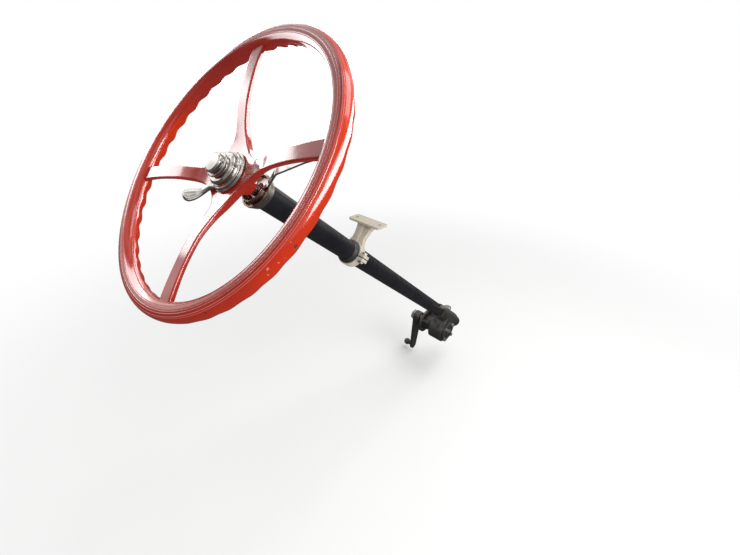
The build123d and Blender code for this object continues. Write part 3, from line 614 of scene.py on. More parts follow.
@dataclass(frozen=True)
class MouldedRed(Recipe):
    """Glossy orange-red moulding with chips; two attributes say where it is darker crimson, partly aged
    colour and partly painted shade, and where its grooves carry a painted highlight.
    """

    name: str = "moulded_red"
    chips: tuple[Spot, ...] = ()
    scrapes: tuple[Spot, ...] = ()
    bright: Colour = (0.62, 0.036, 0.004)
    deep: Colour = (0.46, 0.02, 0.004)
    # the darker crimson, partly aged colour and partly painted shade
    crimson: Colour = (0.22, 0.018, 0.016)
    chipped: Colour = (0.05, 0.012, 0.012)
    pale: Colour = (0.66, 0.1, 0.05)
    # pale pink of the painted highlight in the grooves
    groove_glint: Colour = (0.75, 0.36, 0.32)
    # roughness where the colour is brightest and where it is deepest
    rough: Span = (0.09, 0.17)

    def _spots(self, made: Finish, rows: Sequence[Spot]) -> object:
        """Join the masks of some spots.

        Args:
            made: The material under way.
            rows: The spots.

        Returns:
            A socket that is 1 inside every spot.
        """
        total: object = 0.0
        for x, y, z, radius in rows:
            total = made.graph.larger(total, made.effect(made.effects.nick, Centre=(x, y, z), Radius=radius))
        return total

    def dress(self, made: Finish) -> None:
        """Layer the colours: moulding, darker crimson that is partly aged colour and partly painted shade, a
        painted highlight in the grooves, scratches, scrapes and chips.

        Args:
            made: The material under way.
        """
        g, effects = made.graph, made.effects
        tone = made.effect(effects.mottle, Scale=14.0, Contrast=1.6)
        colour = g.mix(tone, self.bright, self.deep)
        # darker crimson, partly aged colour and partly painted shade
        age_and_shade = g.add("ShaderNodeAttribute", attribute_name=AGE_AND_SHADE).outputs["Fac"]
        patchy = g.span(g.noise(9.0), low=0.2, high=0.8, start=0.75, end=1.0)
        colour = g.mix(g.times(age_and_shade, patchy), colour, self.crimson)
        # pale lines in the lower grooves: a painted highlight
        groove_glint = g.add("ShaderNodeAttribute", attribute_name=GROOVE_GLINT).outputs["Fac"]
        colour = g.mix(groove_glint, colour, self.groove_glint)
        scratched = made.effect(effects.scuffs, Density=0.35, Scale=1.0)
        colour = g.mix(g.times(scratched, 0.3), colour, self.pale)
        scrapes, chips = self._spots(made, self.scrapes), self._spots(made, self.chips)
        colour = g.mix(chips, g.mix(scrapes, colour, self.pale), self.chipped)
        hurt = g.larger(scrapes, chips)
        rough = g.plus(g.span(tone, 0.2, 0.8, *self.rough), g.times(scratched, 0.2))
        height = g.minus(g.times(g.noise(60.0, detail=2.0), 0.2), hurt)
        made.surface(
            Base_Color=colour,
            Roughness=g.plus(rough, g.times(hurt, 0.4)),
            Normal=g.bump(height, distance=0.0006, strength=0.6),
            Specular_IOR_Level=0.6,
            IOR=1.5,
        )


@dataclass(frozen=True)
class NickelPlate(Recipe):
    """Old bright plating: soft reflections, faint pits and some tarnish."""

    name: str = "nickel_plate"
    bright: Colour = (0.58, 0.56, 0.53)
    tarnish: Colour = (0.22, 0.18, 0.15)
    tarnished: float = 0.5
    dulled: float = 0.1

    def dress(self, made: Finish) -> None:
        """Stain, pit and scratch the plating.

        Args:
            made: The material under way.
        """
        g, effects = made.graph, made.effects
        tone = made.effect(effects.mottle, Scale=60.0, Contrast=2.0)
        scratched = made.effect(effects.scuffs, Density=0.8, Scale=2.0)
        stained = g.times(g.span(tone, low=0.55, high=0.95), self.tarnished)
        pits = g.span(g.noise(1500.0, rough=0.7), low=0.62, high=0.74)
        colour = g.mix(g.times(pits, 0.6), g.mix(stained, self.bright, self.tarnish), self.tarnish)
        rough = g.span(tone, low=0.2, high=0.9, start=self.dulled, end=self.dulled + 0.1)
        height = g.minus(g.times(g.noise(120.0, detail=2.0), 0.4), pits)
        made.surface(
            Base_Color=colour,
            Roughness=g.plus(rough, g.times(scratched, 0.2)),
            Metallic=1.0,
            Normal=g.bump(height, distance=0.0001, strength=0.5),
        )


@dataclass(frozen=True)
class Enamel(Recipe):
    """Brushed or sprayed enamel with rubbed edges, scratches and settled dust."""

    paint: Colour
    faded: Colour
    under: Colour
    gloss: float = 0.3
    edge: float = 0.8
    scratches: float = 0.6
    dusty: float = 0.35
    casting: float = 0.0
    shine: float = 0.5
    dust_colour: Colour = (0.3, 0.27, 0.23)

    def dress(self, made: Finish) -> None:
        """Lay the paint, its dust and what rubbing has bared.

        Args:
            made: The material under way.
        """
        g, effects = made.graph, made.effects
        tone = made.effect(effects.mottle, Scale=22.0, Contrast=1.5)
        worn = made.effect(effects.wear, Radius=0.0012, Amount=self.edge, Scale=350.0)
        scratched = made.effect(effects.scuffs, Density=self.scratches, Scale=1.4)
        dust = made.effect(effects.dust, Amount=self.dusty, Scale=70.0)
        colour = g.mix(dust, g.mix(tone, self.paint, self.faded), self.dust_colour)
        colour = g.mix(g.larger(worn, g.times(scratched, 0.5)), colour, self.under)
        rough = g.span(tone, low=0.1, high=0.9, start=self.gloss, end=self.gloss + 0.14)
        grain = g.times(g.noise(900.0, detail=4.0, rough=0.6), 0.25 + self.casting)
        made.surface(
            Base_Color=colour,
            Roughness=g.plus(rough, g.times(dust, 0.35)),
            Metallic=g.times(worn, 0.5),
            Normal=g.bump(g.minus(grain, g.times(worn, 0.4)), distance=0.0003, strength=0.5),
            Specular_IOR_Level=self.shine,
        )


@dataclass(frozen=True)
class BareMetal(Recipe):
    """Machined or cast metal with patches of oxide, rubbed edges and fine tool marks."""

    metal: Colour
    oxide: Colour
    rough: float = 0.34
    oxidised: float = 0.5
    metallic: float = 1.0
    rubbed: Colour = (0.6, 0.58, 0.54)

    def dress(self, made: Finish) -> None:
        """Stain the metal and brighten its rubbed edges.

        Args:
            made: The material under way.
        """
        g, effects = made.graph, made.effects
        tone = made.effect(effects.mottle, Scale=80.0, Contrast=2.0)
        worn = made.effect(effects.wear, Radius=0.0008, Amount=0.8, Scale=600.0)
        rust = g.times(g.span(tone, low=0.45, high=0.85), self.oxidised)
        fine = g.noise(1400.0, rough=0.6)
        rough = g.span(fine, low=0.3, high=0.7, start=self.rough - 0.06, end=self.rough + 0.08)
        made.surface(
            Base_Color=g.mix(g.times(worn, 0.5), g.mix(rust, self.metal, self.oxide), self.rubbed),
            Roughness=g.plus(rough, g.times(rust, 0.2)),
            Metallic=g.minus(self.metallic, g.times(rust, 0.5)),
            Normal=g.bump(g.times(fine, 0.4), distance=0.0002, strength=0.5),
        )


@dataclass(frozen=True)
class Rubber(Recipe):
    """Matt black rubber, faintly bloomed and dusty."""

    name: str = "matt_rubber"
    black: Colour = (0.011, 0.011, 0.012)
    bloomed: Colour = (0.03, 0.03, 0.032)
    dust_colour: Colour = (0.14, 0.13, 0.12)

    def dress(self, made: Finish) -> None:
        """Bloom and dust the rubber.

        Args:
            made: The material under way.
        """
        g, effects = made.graph, made.effects
        bloom = made.effect(effects.mottle, Scale=40.0, Contrast=2.0)
        dust = made.effect(effects.dust, Amount=0.3, Scale=120.0)
        made.surface(
            Base_Color=g.mix(dust, g.mix(bloom, self.black, self.bloomed), self.dust_colour),
            Roughness=g.span(bloom, low=0.2, high=0.8, start=0.42, end=0.62),
            Normal=g.bump(g.noise(1200.0), distance=0.0002, strength=0.4),
        )


RECIPES = {
    Slot.NICKEL: NickelPlate(),
    # its dense blue-grey scratches are partly real scuffs and partly a painted reflection of the room's
    # bright panes
    Slot.JACKET: Enamel(
        "black_enamel", paint=(0.006, 0.006, 0.008), faded=(0.014, 0.015, 0.018), under=(0.2, 0.21, 0.23),
        gloss=0.22, scratches=1.1, dusty=0.15, shine=0.3,
    ),
    Slot.QUADRANT: BareMetal(
        "brown_casting", metal=(0.2, 0.12, 0.09), oxide=(0.07, 0.045, 0.035),
        rough=0.4, oxidised=0.6, metallic=0.7,
    ),
    Slot.BRACKET: Enamel(
        "cream_enamel", paint=(0.6, 0.55, 0.45), faded=(0.5, 0.45, 0.36), under=(0.16, 0.13, 0.1),
        edge=0.35, scratches=0.3, dusty=0.2,
    ),
    Slot.RUBBER: Rubber(),
    Slot.GEAR: Enamel(
        "gear_enamel", paint=(0.014, 0.014, 0.014), faded=(0.03, 0.029, 0.027), under=(0.2, 0.19, 0.17),
        gloss=0.42, edge=0.6, scratches=0.4, dusty=0.4, casting=1.2,
    ),
    Slot.STEEL: BareMetal("worn_steel", metal=(0.42, 0.41, 0.39), oxide=(0.13, 0.085, 0.06)),
    Slot.SWITCH: Enamel(
        "switch_shell", paint=(0.012, 0.012, 0.012), faded=(0.022, 0.021, 0.02), under=(0.05, 0.05, 0.05),
        edge=0.3, scratches=0.3, dusty=0.4,
    ),
}
WARM_PLATE = NickelPlate(
    "warm_plate", bright=(0.52, 0.45, 0.4), tarnish=(0.24, 0.17, 0.13), tarnished=0.7, dulled=0.24
)


# The wheel


@dataclass
class WheelRim:
    """Moulded rim: fine grooves in front, finger grips behind.

    The angle round the section is 0 degrees on the outer side, 90 in front and 180 on the inner
    side. Angles round the wheel start at the car's right and go up the wheel's face.
    """

    axes: ColumnAxes
    outer_radius: float = 222.25
    section: float = 26.8
    first_spoke: float = 17.0
    # the grips, the rounding of the lobes between them, and the steps of each along the rim
    grip_count: int = 40
    grip_depth: float = 4.0
    hollow_radius: float = 18.5
    lobe_blend: float = 1.8
    steps_per_grip: int = 12
    # how deep the hollows run out into the two sides, where, and the power that broadens them there
    inner_wrap: float = 1.4
    inner_wrap_span: Span = (180.0, 212.0)
    outer_wrap: float = 0.8
    outer_wrap_span: Span = (364.0, 328.0)
    wrap_power: float = 0.8
    # the fine grooves, the flatter front face and the parting line
    groove_angles: tuple[float, ...] = (47.5, 58.5, 76.5, 91.5, 115.0)
    groove_depth: float = 0.42
    groove_spread: float = 1.7
    face_from: float = 57.5
    face_to: float = 117.0
    face_flat: float = 0.8
    parting_angle: float = 172.0
    parting_depth: float = 0.25
    parting_spread: float = 1.4
    # how dark each part is painted towards crimson, partly aged colour and partly painted shade, and
    # where by angle round the section or by height on the wheel, from -1 at its foot to 1 at its top
    upper_span: Span = (-0.2, 0.8)
    low_age_and_shade: float = 0.5
    inner_age_and_shade: float = 0.9
    grip_age_and_shade: float = 0.9
    grip_back_span: Span = (310.0, 260.0)
    grip_height_span: Span = (0.1, 0.6)
    # the outer side at the wheel's foot is darkened as painted shade
    foot_shade: float = 0.65
    foot_side_span: Span = (300.0, 340.0)
    foot_face_to: float = 50.0
    foot_depth_span: Span = (0.2, 0.9)
    # how strong and how wide the painted highlight in the lower grooves is
    groove_glint_share: float = 0.6
    glint_spread: float = 1.1
    # first angle, last angle and number of points of each stretch round the section, where they
    # stand closer together across the front and at the parting line
    stretches: tuple[tuple[int, int, int], ...] = (
        (40, 124, 94), (124, 168, 10), (168, 176, 10), (176, 400, 46)
    )

    @property
    def radius(self) -> float:
        """Radius of the rim's middle circle."""
        return self.outer_radius - self.section / 2

    def section_angles(self) -> np.ndarray:
        """Return the angles round the section in degrees, as a column."""
        return np.unique(np.concatenate([np.linspace(*stretch) for stretch in self.stretches]))[:, None]

    def turn_angles(self) -> np.ndarray:
        """Return the angles round the wheel in radians, as a row."""
        return np.linspace(0, 2 * np.pi, self.grip_count * self.steps_per_grip + 1)[None]

    def upper(self) -> np.ndarray:
        """Return 1 over the rim's upper half and 0 over its lower half, with a smooth change."""
        return smooth_step(np.sin(self.turn_angles()), *self.upper_span)

    def age_and_shade(self) -> np.ndarray:
        """Work out how dark the colour is painted towards crimson.

        The front face and the inner side are darkest, and more in the wheel's upper half, partly as
        aged colour and partly as painted shade. In the upper half the inner grips are darker too, as
        the face is; at the bottom the outer side is darkened as painted shade.

        Returns:
            A share from 0 to 1 for each point of the surface.
        """
        degrees, height = self.section_angles(), np.sin(self.turn_angles())
        parting = self.parting_angle
        # an edge between two colours is two degrees wide
        face = smooth_step(degrees, self.face_to + 1, self.face_to - 1)
        inner = self.inner_age_and_shade * smooth_step(degrees, parting + 1, parting - 1)
        front = smooth_step(degrees, self.face_from - 1, self.face_from + 1) * np.maximum(face, inner)
        front = front * (self.low_age_and_shade + (1 - self.low_age_and_shade) * self.upper())
        grips = smooth_step(degrees, *self.grip_back_span) * smooth_step(degrees, parting - 1, parting + 1)
        grips = grips * self.grip_age_and_shade * smooth_step(height, *self.grip_height_span)
        side = smooth_step(degrees, *self.foot_side_span)
        foot = np.maximum(side, smooth_step(degrees, self.face_from, self.foot_face_to))
        foot = foot * self.foot_shade * smooth_step(-height, *self.foot_depth_span)
        return np.maximum(np.maximum(front, grips), foot)

    def groove_glint(self) -> np.ndarray:
        """Return where a painted highlight lies: in the grooves of the wheel's lower half."""
        lines = sum(hump(self.section_angles(), a, self.glint_spread) for a in self.groove_angles)
        return self.groove_glint_share * np.minimum(lines, 1.0) * (1 - self.upper())

    def spots(self, table: Sequence[tuple[float, float, float]]) -> tuple[Spot, ...]:
        """Place spots on the rim.

        Args:
            table: Rows of angle round the wheel, angle round the section and radius.

        Returns:
            The spots.
        """
        half, placed = self.section / 2, []
        for turn, around, size in table:
            v = math.radians(around)
            placed.append(self.axes.spot(turn, self.radius + half * math.cos(v), half * math.sin(v), size))
        return tuple(placed)

    def surface(self) -> np.ndarray:
        """Work out the rim as a grid of angle round the wheel and angle round the section.

        The section is a circle with shallow grooves, each a Gaussian dip of the radius, and a
        front face that a parabola makes a little flatter. Behind, each height is no lower than
        a cylinder's across the rim, one for each finger, and the two are blended so that the
        lobes between the hollows come out rounded. The hollows run out round both sides as a
        dip of the radius that follows a raised cosine along the rim.

        Returns:
            A closed grid of row points.
        """
        half, turn, degrees = self.section / 2, self.turn_angles(), self.section_angles()
        around = np.radians(degrees)
        dips = self.groove_depth * sum(hump(degrees, a, self.groove_spread) for a in self.groove_angles)
        dips = dips + self.parting_depth * hump(degrees, self.parting_angle, self.parting_spread)
        across = (2 * degrees - self.face_from - self.face_to) / (self.face_to - self.face_from)
        dips = dips + self.face_flat * np.maximum(1 - across**2, 0.0)
        pitch = 2 * np.pi / self.grip_count
        phase = (turn - math.radians(self.first_spoke) + pitch / 2) % pitch - pitch / 2
        inner = self.inner_wrap * smooth_step(degrees, *self.inner_wrap_span)
        outer = self.outer_wrap * smooth_step(degrees, *self.outer_wrap_span)
        hollow = (0.5 + 0.5 * np.cos(self.grip_count * phase)) ** self.wrap_power
        radius = half - dips - np.where(degrees < 270, inner, outer) * hollow
        w = radius * np.sin(around)
        along = self.radius * phase
        fall = self.hollow_radius - np.sqrt(np.maximum(self.hollow_radius**2 - along**2, 0.0))
        floor = self.grip_depth - half - fall
        w = np.where(w < 0, smooth_max(w, floor + 0 * w, self.lobe_blend), w)
        return self.axes.polar(turn, self.radius + radius * np.cos(around), w)

    def build(self, finish: bpy.types.Material) -> None:
        """Make the rim and set it on the wheel.

        Args:
            finish: Its material.
        """
        layers = {AGE_AND_SHADE: [self.age_and_shade()], GROOVE_GLINT: [self.groove_glint()]}
        rim = mesh_object("wheel_rim_moulding", [self.surface()], sharp=70, layers=layers)
        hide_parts("wheel_rim")
        settle(rim, Body.WHEEL, finish)


@dataclass
class WheelSpider:
    """Four dished spokes, their web and the hub's boss."""

    axes: ColumnAxes
    first_spoke: float = 17.0
    spoke_count: int = 4
    half_width: float = 11.0
    web_fillet: float = 66.0
    edge_round: float = 2.2
    underside_dome: float = 3.2
    reach: float = 200.0
    # how much wider a spoke grows towards the rim, and from which radius
    tip_flare: float = 0.12
    flare_from: float = 150.0
    # how dark the sides, undersides and boss are painted as shade, how dark the web and the lowest
    # spoke's tip are painted, partly aged colour and partly painted shade, the radii between which the
    # tips differ from the web, and how low on the wheel the lowest spoke lies
    side_shade: float = 0.65
    web_age_and_shade: float = 0.75
    low_age_and_shade: float = 0.5
    tip_span: Span = (110.0, 165.0)
    lowest_span: Span = (-0.6, -0.85)
    # points along the web, along the spoke, across it and down its side
    web_points: int = 16
    spoke_points: int = 90
    across_points: int = 31
    side_points: int = 6
    # radius from the wheel's axis, height of the spoke's top there
    top: tuple[Point, ...] = (
        (0.0, -20.5), (34.0, -20.2), (47.0, -19.0), (65.0, -14.0), (83.0, -8.0), (103.0, -2.3),
        (120.0, 0.6), (137.0, 2.6), (156.0, 4.1), (174.0, 4.9), (200.0, 4.9),
    )
    # radius from the wheel's axis, height of the lower edge of the spoke's side there
    under: tuple[Point, ...] = (
        (0.0, -31.0), (40.0, -30.5), (54.0, -27.0), (71.0, -20.0), (93.0, -11.3), (111.0, -6.2),
        (127.0, -3.7), (142.0, -2.0), (157.0, -1.0), (200.0, -0.7),
    )
    boss: tuple[Corner, ...] = (
        (28.0, -31.5, 0.0), (16.6, -41.0, 9.0), (16.4, -59.0, 6.5), (9.6, -59.0, 0.6), (9.6, -50.0, 0.0),
    )

    @property
    def corner(self) -> float:
        """Distance along and across a spoke of the web fillet's centre."""
        return self.half_width + self.web_fillet

    def edge_distance(self, x: np.ndarray, y: np.ndarray) -> np.ndarray:
        """Work out how far a point of the plan lies inside the outline.

        Inside the fillet's square it is the distance to the fillet's circle, and beyond it the
        distance to the spoke's straight side.

        Args:
            x: Distances along the spoke.
            y: Distances across it.

        Returns:
            The distances, 0 outside the outline.
        """
        to_arc = np.hypot(self.corner - x, self.corner - np.abs(y)) - self.web_fillet
        return np.maximum(np.where(x < self.corner, to_arc, self.half_width - np.abs(y)), 0.0)

    def outline(self, x: np.ndarray) -> np.ndarray:
        """Work out the plan's half width: a circle along the fillet, then the spoke's straight side.

        Args:
            x: Distances along the spoke.

        Returns:
            The half widths.
        """
        inside = np.maximum(self.web_fillet**2 - (self.corner - x) ** 2, 0.0)
        edge = np.where(x < self.corner, self.corner - np.sqrt(inside), self.half_width)
        return np.minimum(edge, x)

    def spoke(self, turn: float) -> list[np.ndarray]:
        """Work out one spoke and its quarter of the web.

        The top falls as a quarter circle within edge_round of the outline, and the underside
        as a quarter ellipse as deep as underside_dome.

        Args:
            turn: The spoke's angle in degrees.

        Returns:
            Grids of the top, the underside and the two sides.
        """
        meet = self.corner - self.web_fillet / math.sqrt(2)
        web, free = np.linspace(0, meet, self.web_points), np.linspace(meet, self.reach, self.spoke_points)
        x = np.concatenate([web, free[1:]])[:, None]
        y = np.sin(np.pi / 2 * np.linspace(-1, 1, self.across_points))[None] * self.outline(x)
        inside, radius = self.edge_distance(x, y), np.hypot(x, y)
        near = np.minimum(inside, self.edge_round)
        fall = self.edge_round - np.sqrt(self.edge_round**2 - (self.edge_round - near) ** 2)
        top = eased(self.top, radius) - fall
        low = eased(self.under, radius) - self.underside_dome * quarter_round(inside / self.half_width)
        y = y * (1 + self.tip_flare * smooth_step(x, self.flare_from, self.reach))
        step = np.linspace(0, 1, self.side_points)[None]
        grids = [(x + 0 * y, y, top), (x + 0 * y, y, low)]
        # a spoke's two sides start where its part of the web meets its neighbours'
        for edge, start, end in ((v[self.web_points - 1:, [c]] for v in (y, top, low)) for c in (0, -1)):
            grids.append((x[self.web_points - 1:] + 0 * step, edge + 0 * step, start + (end - start) * step))
        return [self.axes.place_turned(turn, *grid) for grid in grids]

    def spots(self, table: Sequence[tuple[float, float, float]]) -> tuple[Spot, ...]:
        """Place spots on top of the spokes.

        Args:
            table: Rows of angle round the wheel, distance from its axis and radius.

        Returns:
            The spots.
        """
        placed = []
        for turn, out, size in table:
            placed.append(self.axes.spot(turn, out, eased(self.top, np.array(out)), size))
        return tuple(placed)

    def age_and_shade_top(self, grid: np.ndarray) -> np.ndarray:
        """Work out how dark a spoke's top is painted, as aged colour and painted shade: more towards the
        rim, less on the lowest.

        Args:
            grid: The top's points.

        Returns:
            A share from 0 to 1 for each point.
        """
        out = (grid - self.axes.centre) / MM
        radius = np.linalg.norm(out, axis=2)
        lowest = smooth_step(out @ self.axes.across / np.maximum(radius, 1.0), *self.lowest_span)
        tip = 1.0 + (self.low_age_and_shade - 1.0) * lowest
        return self.web_age_and_shade + (tip - self.web_age_and_shade) * smooth_step(radius, *self.tip_span)

    def build(self, finish: bpy.types.Material) -> None:
        """Make the spider and set it on the wheel.

        Args:
            finish: Its material.
        """
        grids = [turned(self.axes, rounded(self.boss))]
        for k in range(self.spoke_count):
            grids += self.spoke(self.first_spoke + 360 / self.spoke_count * k)
        # the sides, undersides and boss are painted darker as shade
        age_and_shade = [np.full(grid.shape[:2], self.side_shade) for grid in grids]
        # after the boss, each spoke's first grid is its top
        for k in range(1, len(grids), len(grids) // self.spoke_count):
            age_and_shade[k] = self.age_and_shade_top(grids[k])
        spider = mesh_object("wheel_spider_moulding", grids, sharp=60, layers={AGE_AND_SHADE: age_and_shade})
        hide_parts("wheel_spider")
        settle(spider, Body.WHEEL, finish)


# Lever, button and controls at the wheel's centre


@dataclass
class HubControls:
    """Plated bell with its finger lever, and the button on top."""

    axes: ColumnAxes
    angle: float = 235.0
    tip_round: float = 8.0
    tip_edge: float = 2.4
    # points along the lever, how much they crowd towards its tip, and points round it
    lever_points: int = 72
    tip_crowding: float = 1.7
    oval_points: int = 41
    bell_turns: int = 128
    # radius, height and corner radius, from the foot up
    bell: tuple[Corner, ...] = (
        (4.5, -20.0, 0.0), (32.0, -20.0, 0.5), (32.2, -17.4, 0.8), (29.6, -16.2, 0.6), (29.2, -13.4, 1.2),
        (26.8, -12.6, 0.5), (26.2, -10.8, 0.3), (24.4, -10.4, 0.3), (24.4, -9.6, 0.3), (25.8, -9.2, 0.4),
        (26.0, -6.8, 1.8), (22.6, -4.4, 1.4), (17.4, -3.4, 1.0), (17.2, -1.0, 0.4), (19.2, -0.5, 0.4),
        (19.4, 1.6, 0.8), (17.6, 2.4, 0.4), (4.5, 2.4, 0.0),
    )
    button: tuple[Corner, ...] = (
        (0.0, 2.4, 0.0), (14.2, 2.4, 0.2), (14.2, 3.6, 0.2), (15.5, 3.9, 0.4), (15.4, 7.4, 1.4),
        (12.6, 8.9, 1.2), (0.0, 9.3, 0.0),
    )
    # distance out, height, width and thickness along the lever
    lever: tuple[tuple[float, float, float, float], ...] = (
        (20.0, -16.2, 32.0, 7.6), (29.0, -16.0, 23.0, 7.4), (35.0, -15.6, 14.0, 7.2),
        (42.0, -15.0, 11.2, 7.0), (50.0, -13.8, 12.6, 7.2), (58.0, -11.0, 18.5, 8.0),
        (65.0, -7.0, 23.0, 9.4), (70.5, -2.4, 24.0, 9.6), (74.0, 2.2, 22.0, 8.0),
    )

    def lever_surface(self) -> np.ndarray:
        """Work out the lever as an oval carried along its curve.

        Each station's width and thickness lie square to the curve. Over the last millimetres
        both shrink as a quarter circle, which closes the tip in a round.

        Returns:
            A grid of row points.
        """
        stations = np.array(self.lever)
        length = np.concatenate([[0], np.cumsum(np.hypot(*np.diff(stations[:, :2], axis=0).T))])
        at = length[-1] * (1 - (1 - np.linspace(0, 1, self.lever_points)) ** self.tip_crowding)
        out, w, width, thick = (eased(list(zip(length, column)), at) for column in stations.T)
        left = length[-1] - at
        half_width = 0.5 * width * quarter_round(left / self.tip_round)
        half_thick = 0.5 * thick * quarter_round(left / self.tip_edge)
        run, rise = np.gradient(out, at), np.gradient(w, at)
        norm = np.hypot(run, rise)
        around = np.linspace(0, 2 * np.pi, self.oval_points)[None]
        x = out[:, None] - (rise / norm * half_thick)[:, None] * np.sin(around)
        level = w[:, None] + (run / norm * half_thick)[:, None] * np.sin(around)
        return self.axes.place_turned(self.angle, x, half_width[:, None] * np.cos(around), level)

    def build(self, plate: bpy.types.Material) -> None:
        """Make the bell with its lever, and the button.

        Args:
            plate: Their material.
        """
        bell = [turned(self.axes, rounded(self.bell), self.bell_turns), self.lever_surface()]
        button = [turned(self.axes, rounded(self.button))]
        for name, grids, node in (
            ("lights_lever_bell", bell, "switch_lever"),
            ("horn_button_cap", button, "horn_button"),
        ):
            piece = mesh_object(name, grids)
            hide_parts(node)
            settle(piece, Body.COLUMN, plate)


# Bolts and nuts that the CAD leaves out


@dataclass(frozen=True)
class HexHeads:
    """One group of hexagon heads or nuts on a plane face, on its washers where it has them."""

    name: str
    centre: tuple[float, float, float]
    normal: Direction
    count: int
    # width across the flats, and height
    across: float
    height: float
    # diameter of the circle of heads, and the angle of the first in degrees
    circle: float = 0.0
    first: float = 0.0
    washer: float = 0.0
    washer_height: float = 0.0
    # share of the head's radius that the crown keeps, how steeply the chamfer falls from it, share
    # of the head's radius at which the washer ends, and how deep both are sunk into the face
    crown: float = 0.96
    chamfer: float = 0.6
    washer_inside: float = 0.8
    sunk: float = 0.2
    steps: int = 73

    def head(self) -> list[np.ndarray]:
        """Work out one head on the origin, facing +Z.

        The radius of its sides is that of a regular hexagon, half the flats' width over the cosine
        of the angle from the nearest flat's middle.

        Returns:
            Grids of x, y and z in millimetres.
        """
        around = np.linspace(0, 2 * np.pi, self.steps)
        flat = self.across / 2 / np.cos((around + np.pi / 6) % (np.pi / 3) - np.pi / 6)
        crown = self.across / 2 * self.crown
        top = self.washer_height + self.height
        # radius and height from the foot to the middle of the top
        profiles = [(
            (flat, self.washer_height - self.sunk), (flat, top - (flat - crown) * self.chamfer),
            (crown, top), (0.0, top),
        )]
        if self.washer:
            outer, inner = self.washer / 2, flat * self.washer_inside
            profiles.append(((outer, -self.sunk), (outer, self.washer_height), (inner, self.washer_height)))
        c, s = np.cos(around), np.sin(around)
        return [np.array([np.stack((r * c, r * s, z + 0 * c), -1) for r, z in rings]) for rings in profiles]

    def build(self, finish: bpy.types.Material) -> None:
        """Set the heads round their circle as one piece.

        Args:
            finish: Their material.
        """
        up = Vector(self.normal).normalized()
        # a direction square to the normal, which is +Y for a face along X
        side = up.orthogonal().normalized() if abs(up.x) < 0.9 else Vector((0.0, 1.0, 0.0))
        facing = np.array([side, up.cross(side), up])
        grids = []
        for k in range(self.count):
            a = math.radians(self.first + 360 / self.count * k)
            place = np.array((self.circle / 2 * math.cos(a), self.circle / 2 * math.sin(a), 0.0))
            grids += [((grid + place) @ facing + np.array(self.centre)) * MM for grid in self.head()]
        settle(mesh_object(self.name, grids, sharp=30), Body.COLUMN, finish)


# Pieces whose CAD shape is refined


@dataclass(frozen=True)
class Refined:
    """A CAD node that keeps its shape and gets eased edges and a finish."""

    node: str
    suffix: str
    slot: Slot
    # width of the eased edges
    bevel: float
    body: Body = Body.COLUMN
    look: Look = Look.OF_SLOT
    # edges that turn by more degrees are eased, and faces that turn by fewer are one flat
    sharp: float = 32.0
    flat: float = 0.4
    # corners of triangles that are nearer than this, in metres, are one
    same_point: float = 2e-6

    def build(self, finish: bpy.types.Material) -> None:
        """Copy the node with its triangles merged, its flats made whole and its edges eased.

        Args:
            finish: The copy's material.
        """
        mesh = frame["nodes"][self.node].data.copy()
        tidy = bmesh.new()
        tidy.from_mesh(mesh)
        bmesh.ops.remove_doubles(tidy, verts=tidy.verts, dist=self.same_point)
        limit = math.radians(self.flat)
        bmesh.ops.dissolve_limit(tidy, angle_limit=limit, verts=tidy.verts, edges=tidy.edges)
        tidy.to_mesh(mesh)
        tidy.free()
        piece = smooth_object(f"{self.node}_{self.suffix}", mesh, self.sharp)
        ease = piece.modifiers.new("eased_edges", "BEVEL")
        ease.width = self.bevel * MM
        ease.segments = 2
        ease.limit_method = "ANGLE"
        ease.angle_limit = math.radians(self.sharp)
        ease.use_clamp_overlap = True
        ease.harden_normals = True
        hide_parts(self.node)
        settle(piece, self.body, finish)


REFINED = (
    Refined("gear_housing", "casting", Slot.GEAR, 1.0),
    Refined("sector_cover", "plate", Slot.GEAR, 0.8),
    Refined("worm_end_cover", "plate", Slot.GEAR, 0.8),
    Refined("oil_plug", "hex", Slot.STEEL, 0.5),
    Refined("light_switch", "case", Slot.SWITCH, 1.0),
    Refined("column_jacket", "tube", Slot.JACKET, 0.3),
    Refined("lower_bush", "ring", Slot.QUADRANT, 0.3),
    Refined("control_quadrant", "cup", Slot.NICKEL, 0.5, look=Look.WARM_PLATE),
    Refined("quadrant_shield", "ring", Slot.NICKEL, 0.3, look=Look.WARM_PLATE),
    Refined("spark_lever", "blade", Slot.NICKEL, 0.7),
    Refined("throttle_lever", "blade", Slot.NICKEL, 0.7),
    Refined("spark_rod", "bar", Slot.STEEL, 0.3),
    Refined("throttle_rod", "bar", Slot.STEEL, 0.3),
    Refined("spark_arm", "plate", Slot.STEEL, 0.5),
    Refined("throttle_arm", "plate", Slot.STEEL, 0.5),
    Refined("dash_bracket", "casting", Slot.BRACKET, 1.2),
    Refined("clamp_cap", "casting", Slot.BRACKET, 1.0),
    Refined("clamp_rubber", "sleeve", Slot.RUBBER, 1.0),
    Refined("clamp_bolts", "pair", Slot.STEEL, 0.4),
    Refined("switch_tube", "bar", Slot.STEEL, 0.2),
    Refined("wheel_nut", "hex", Slot.STEEL, 0.5, Body.WHEEL),
    Refined("steering_shaft", "tube", Slot.STEEL, 0.3, Body.WHEEL),
    Refined("sector_shaft", "bar", Slot.STEEL, 0.8, Body.DROP),
    Refined("drop_arm", "forging", Slot.GEAR, 1.2, Body.DROP),
    Refined("drop_nut", "hex", Slot.STEEL, 0.8, Body.DROP),
)


# The studio


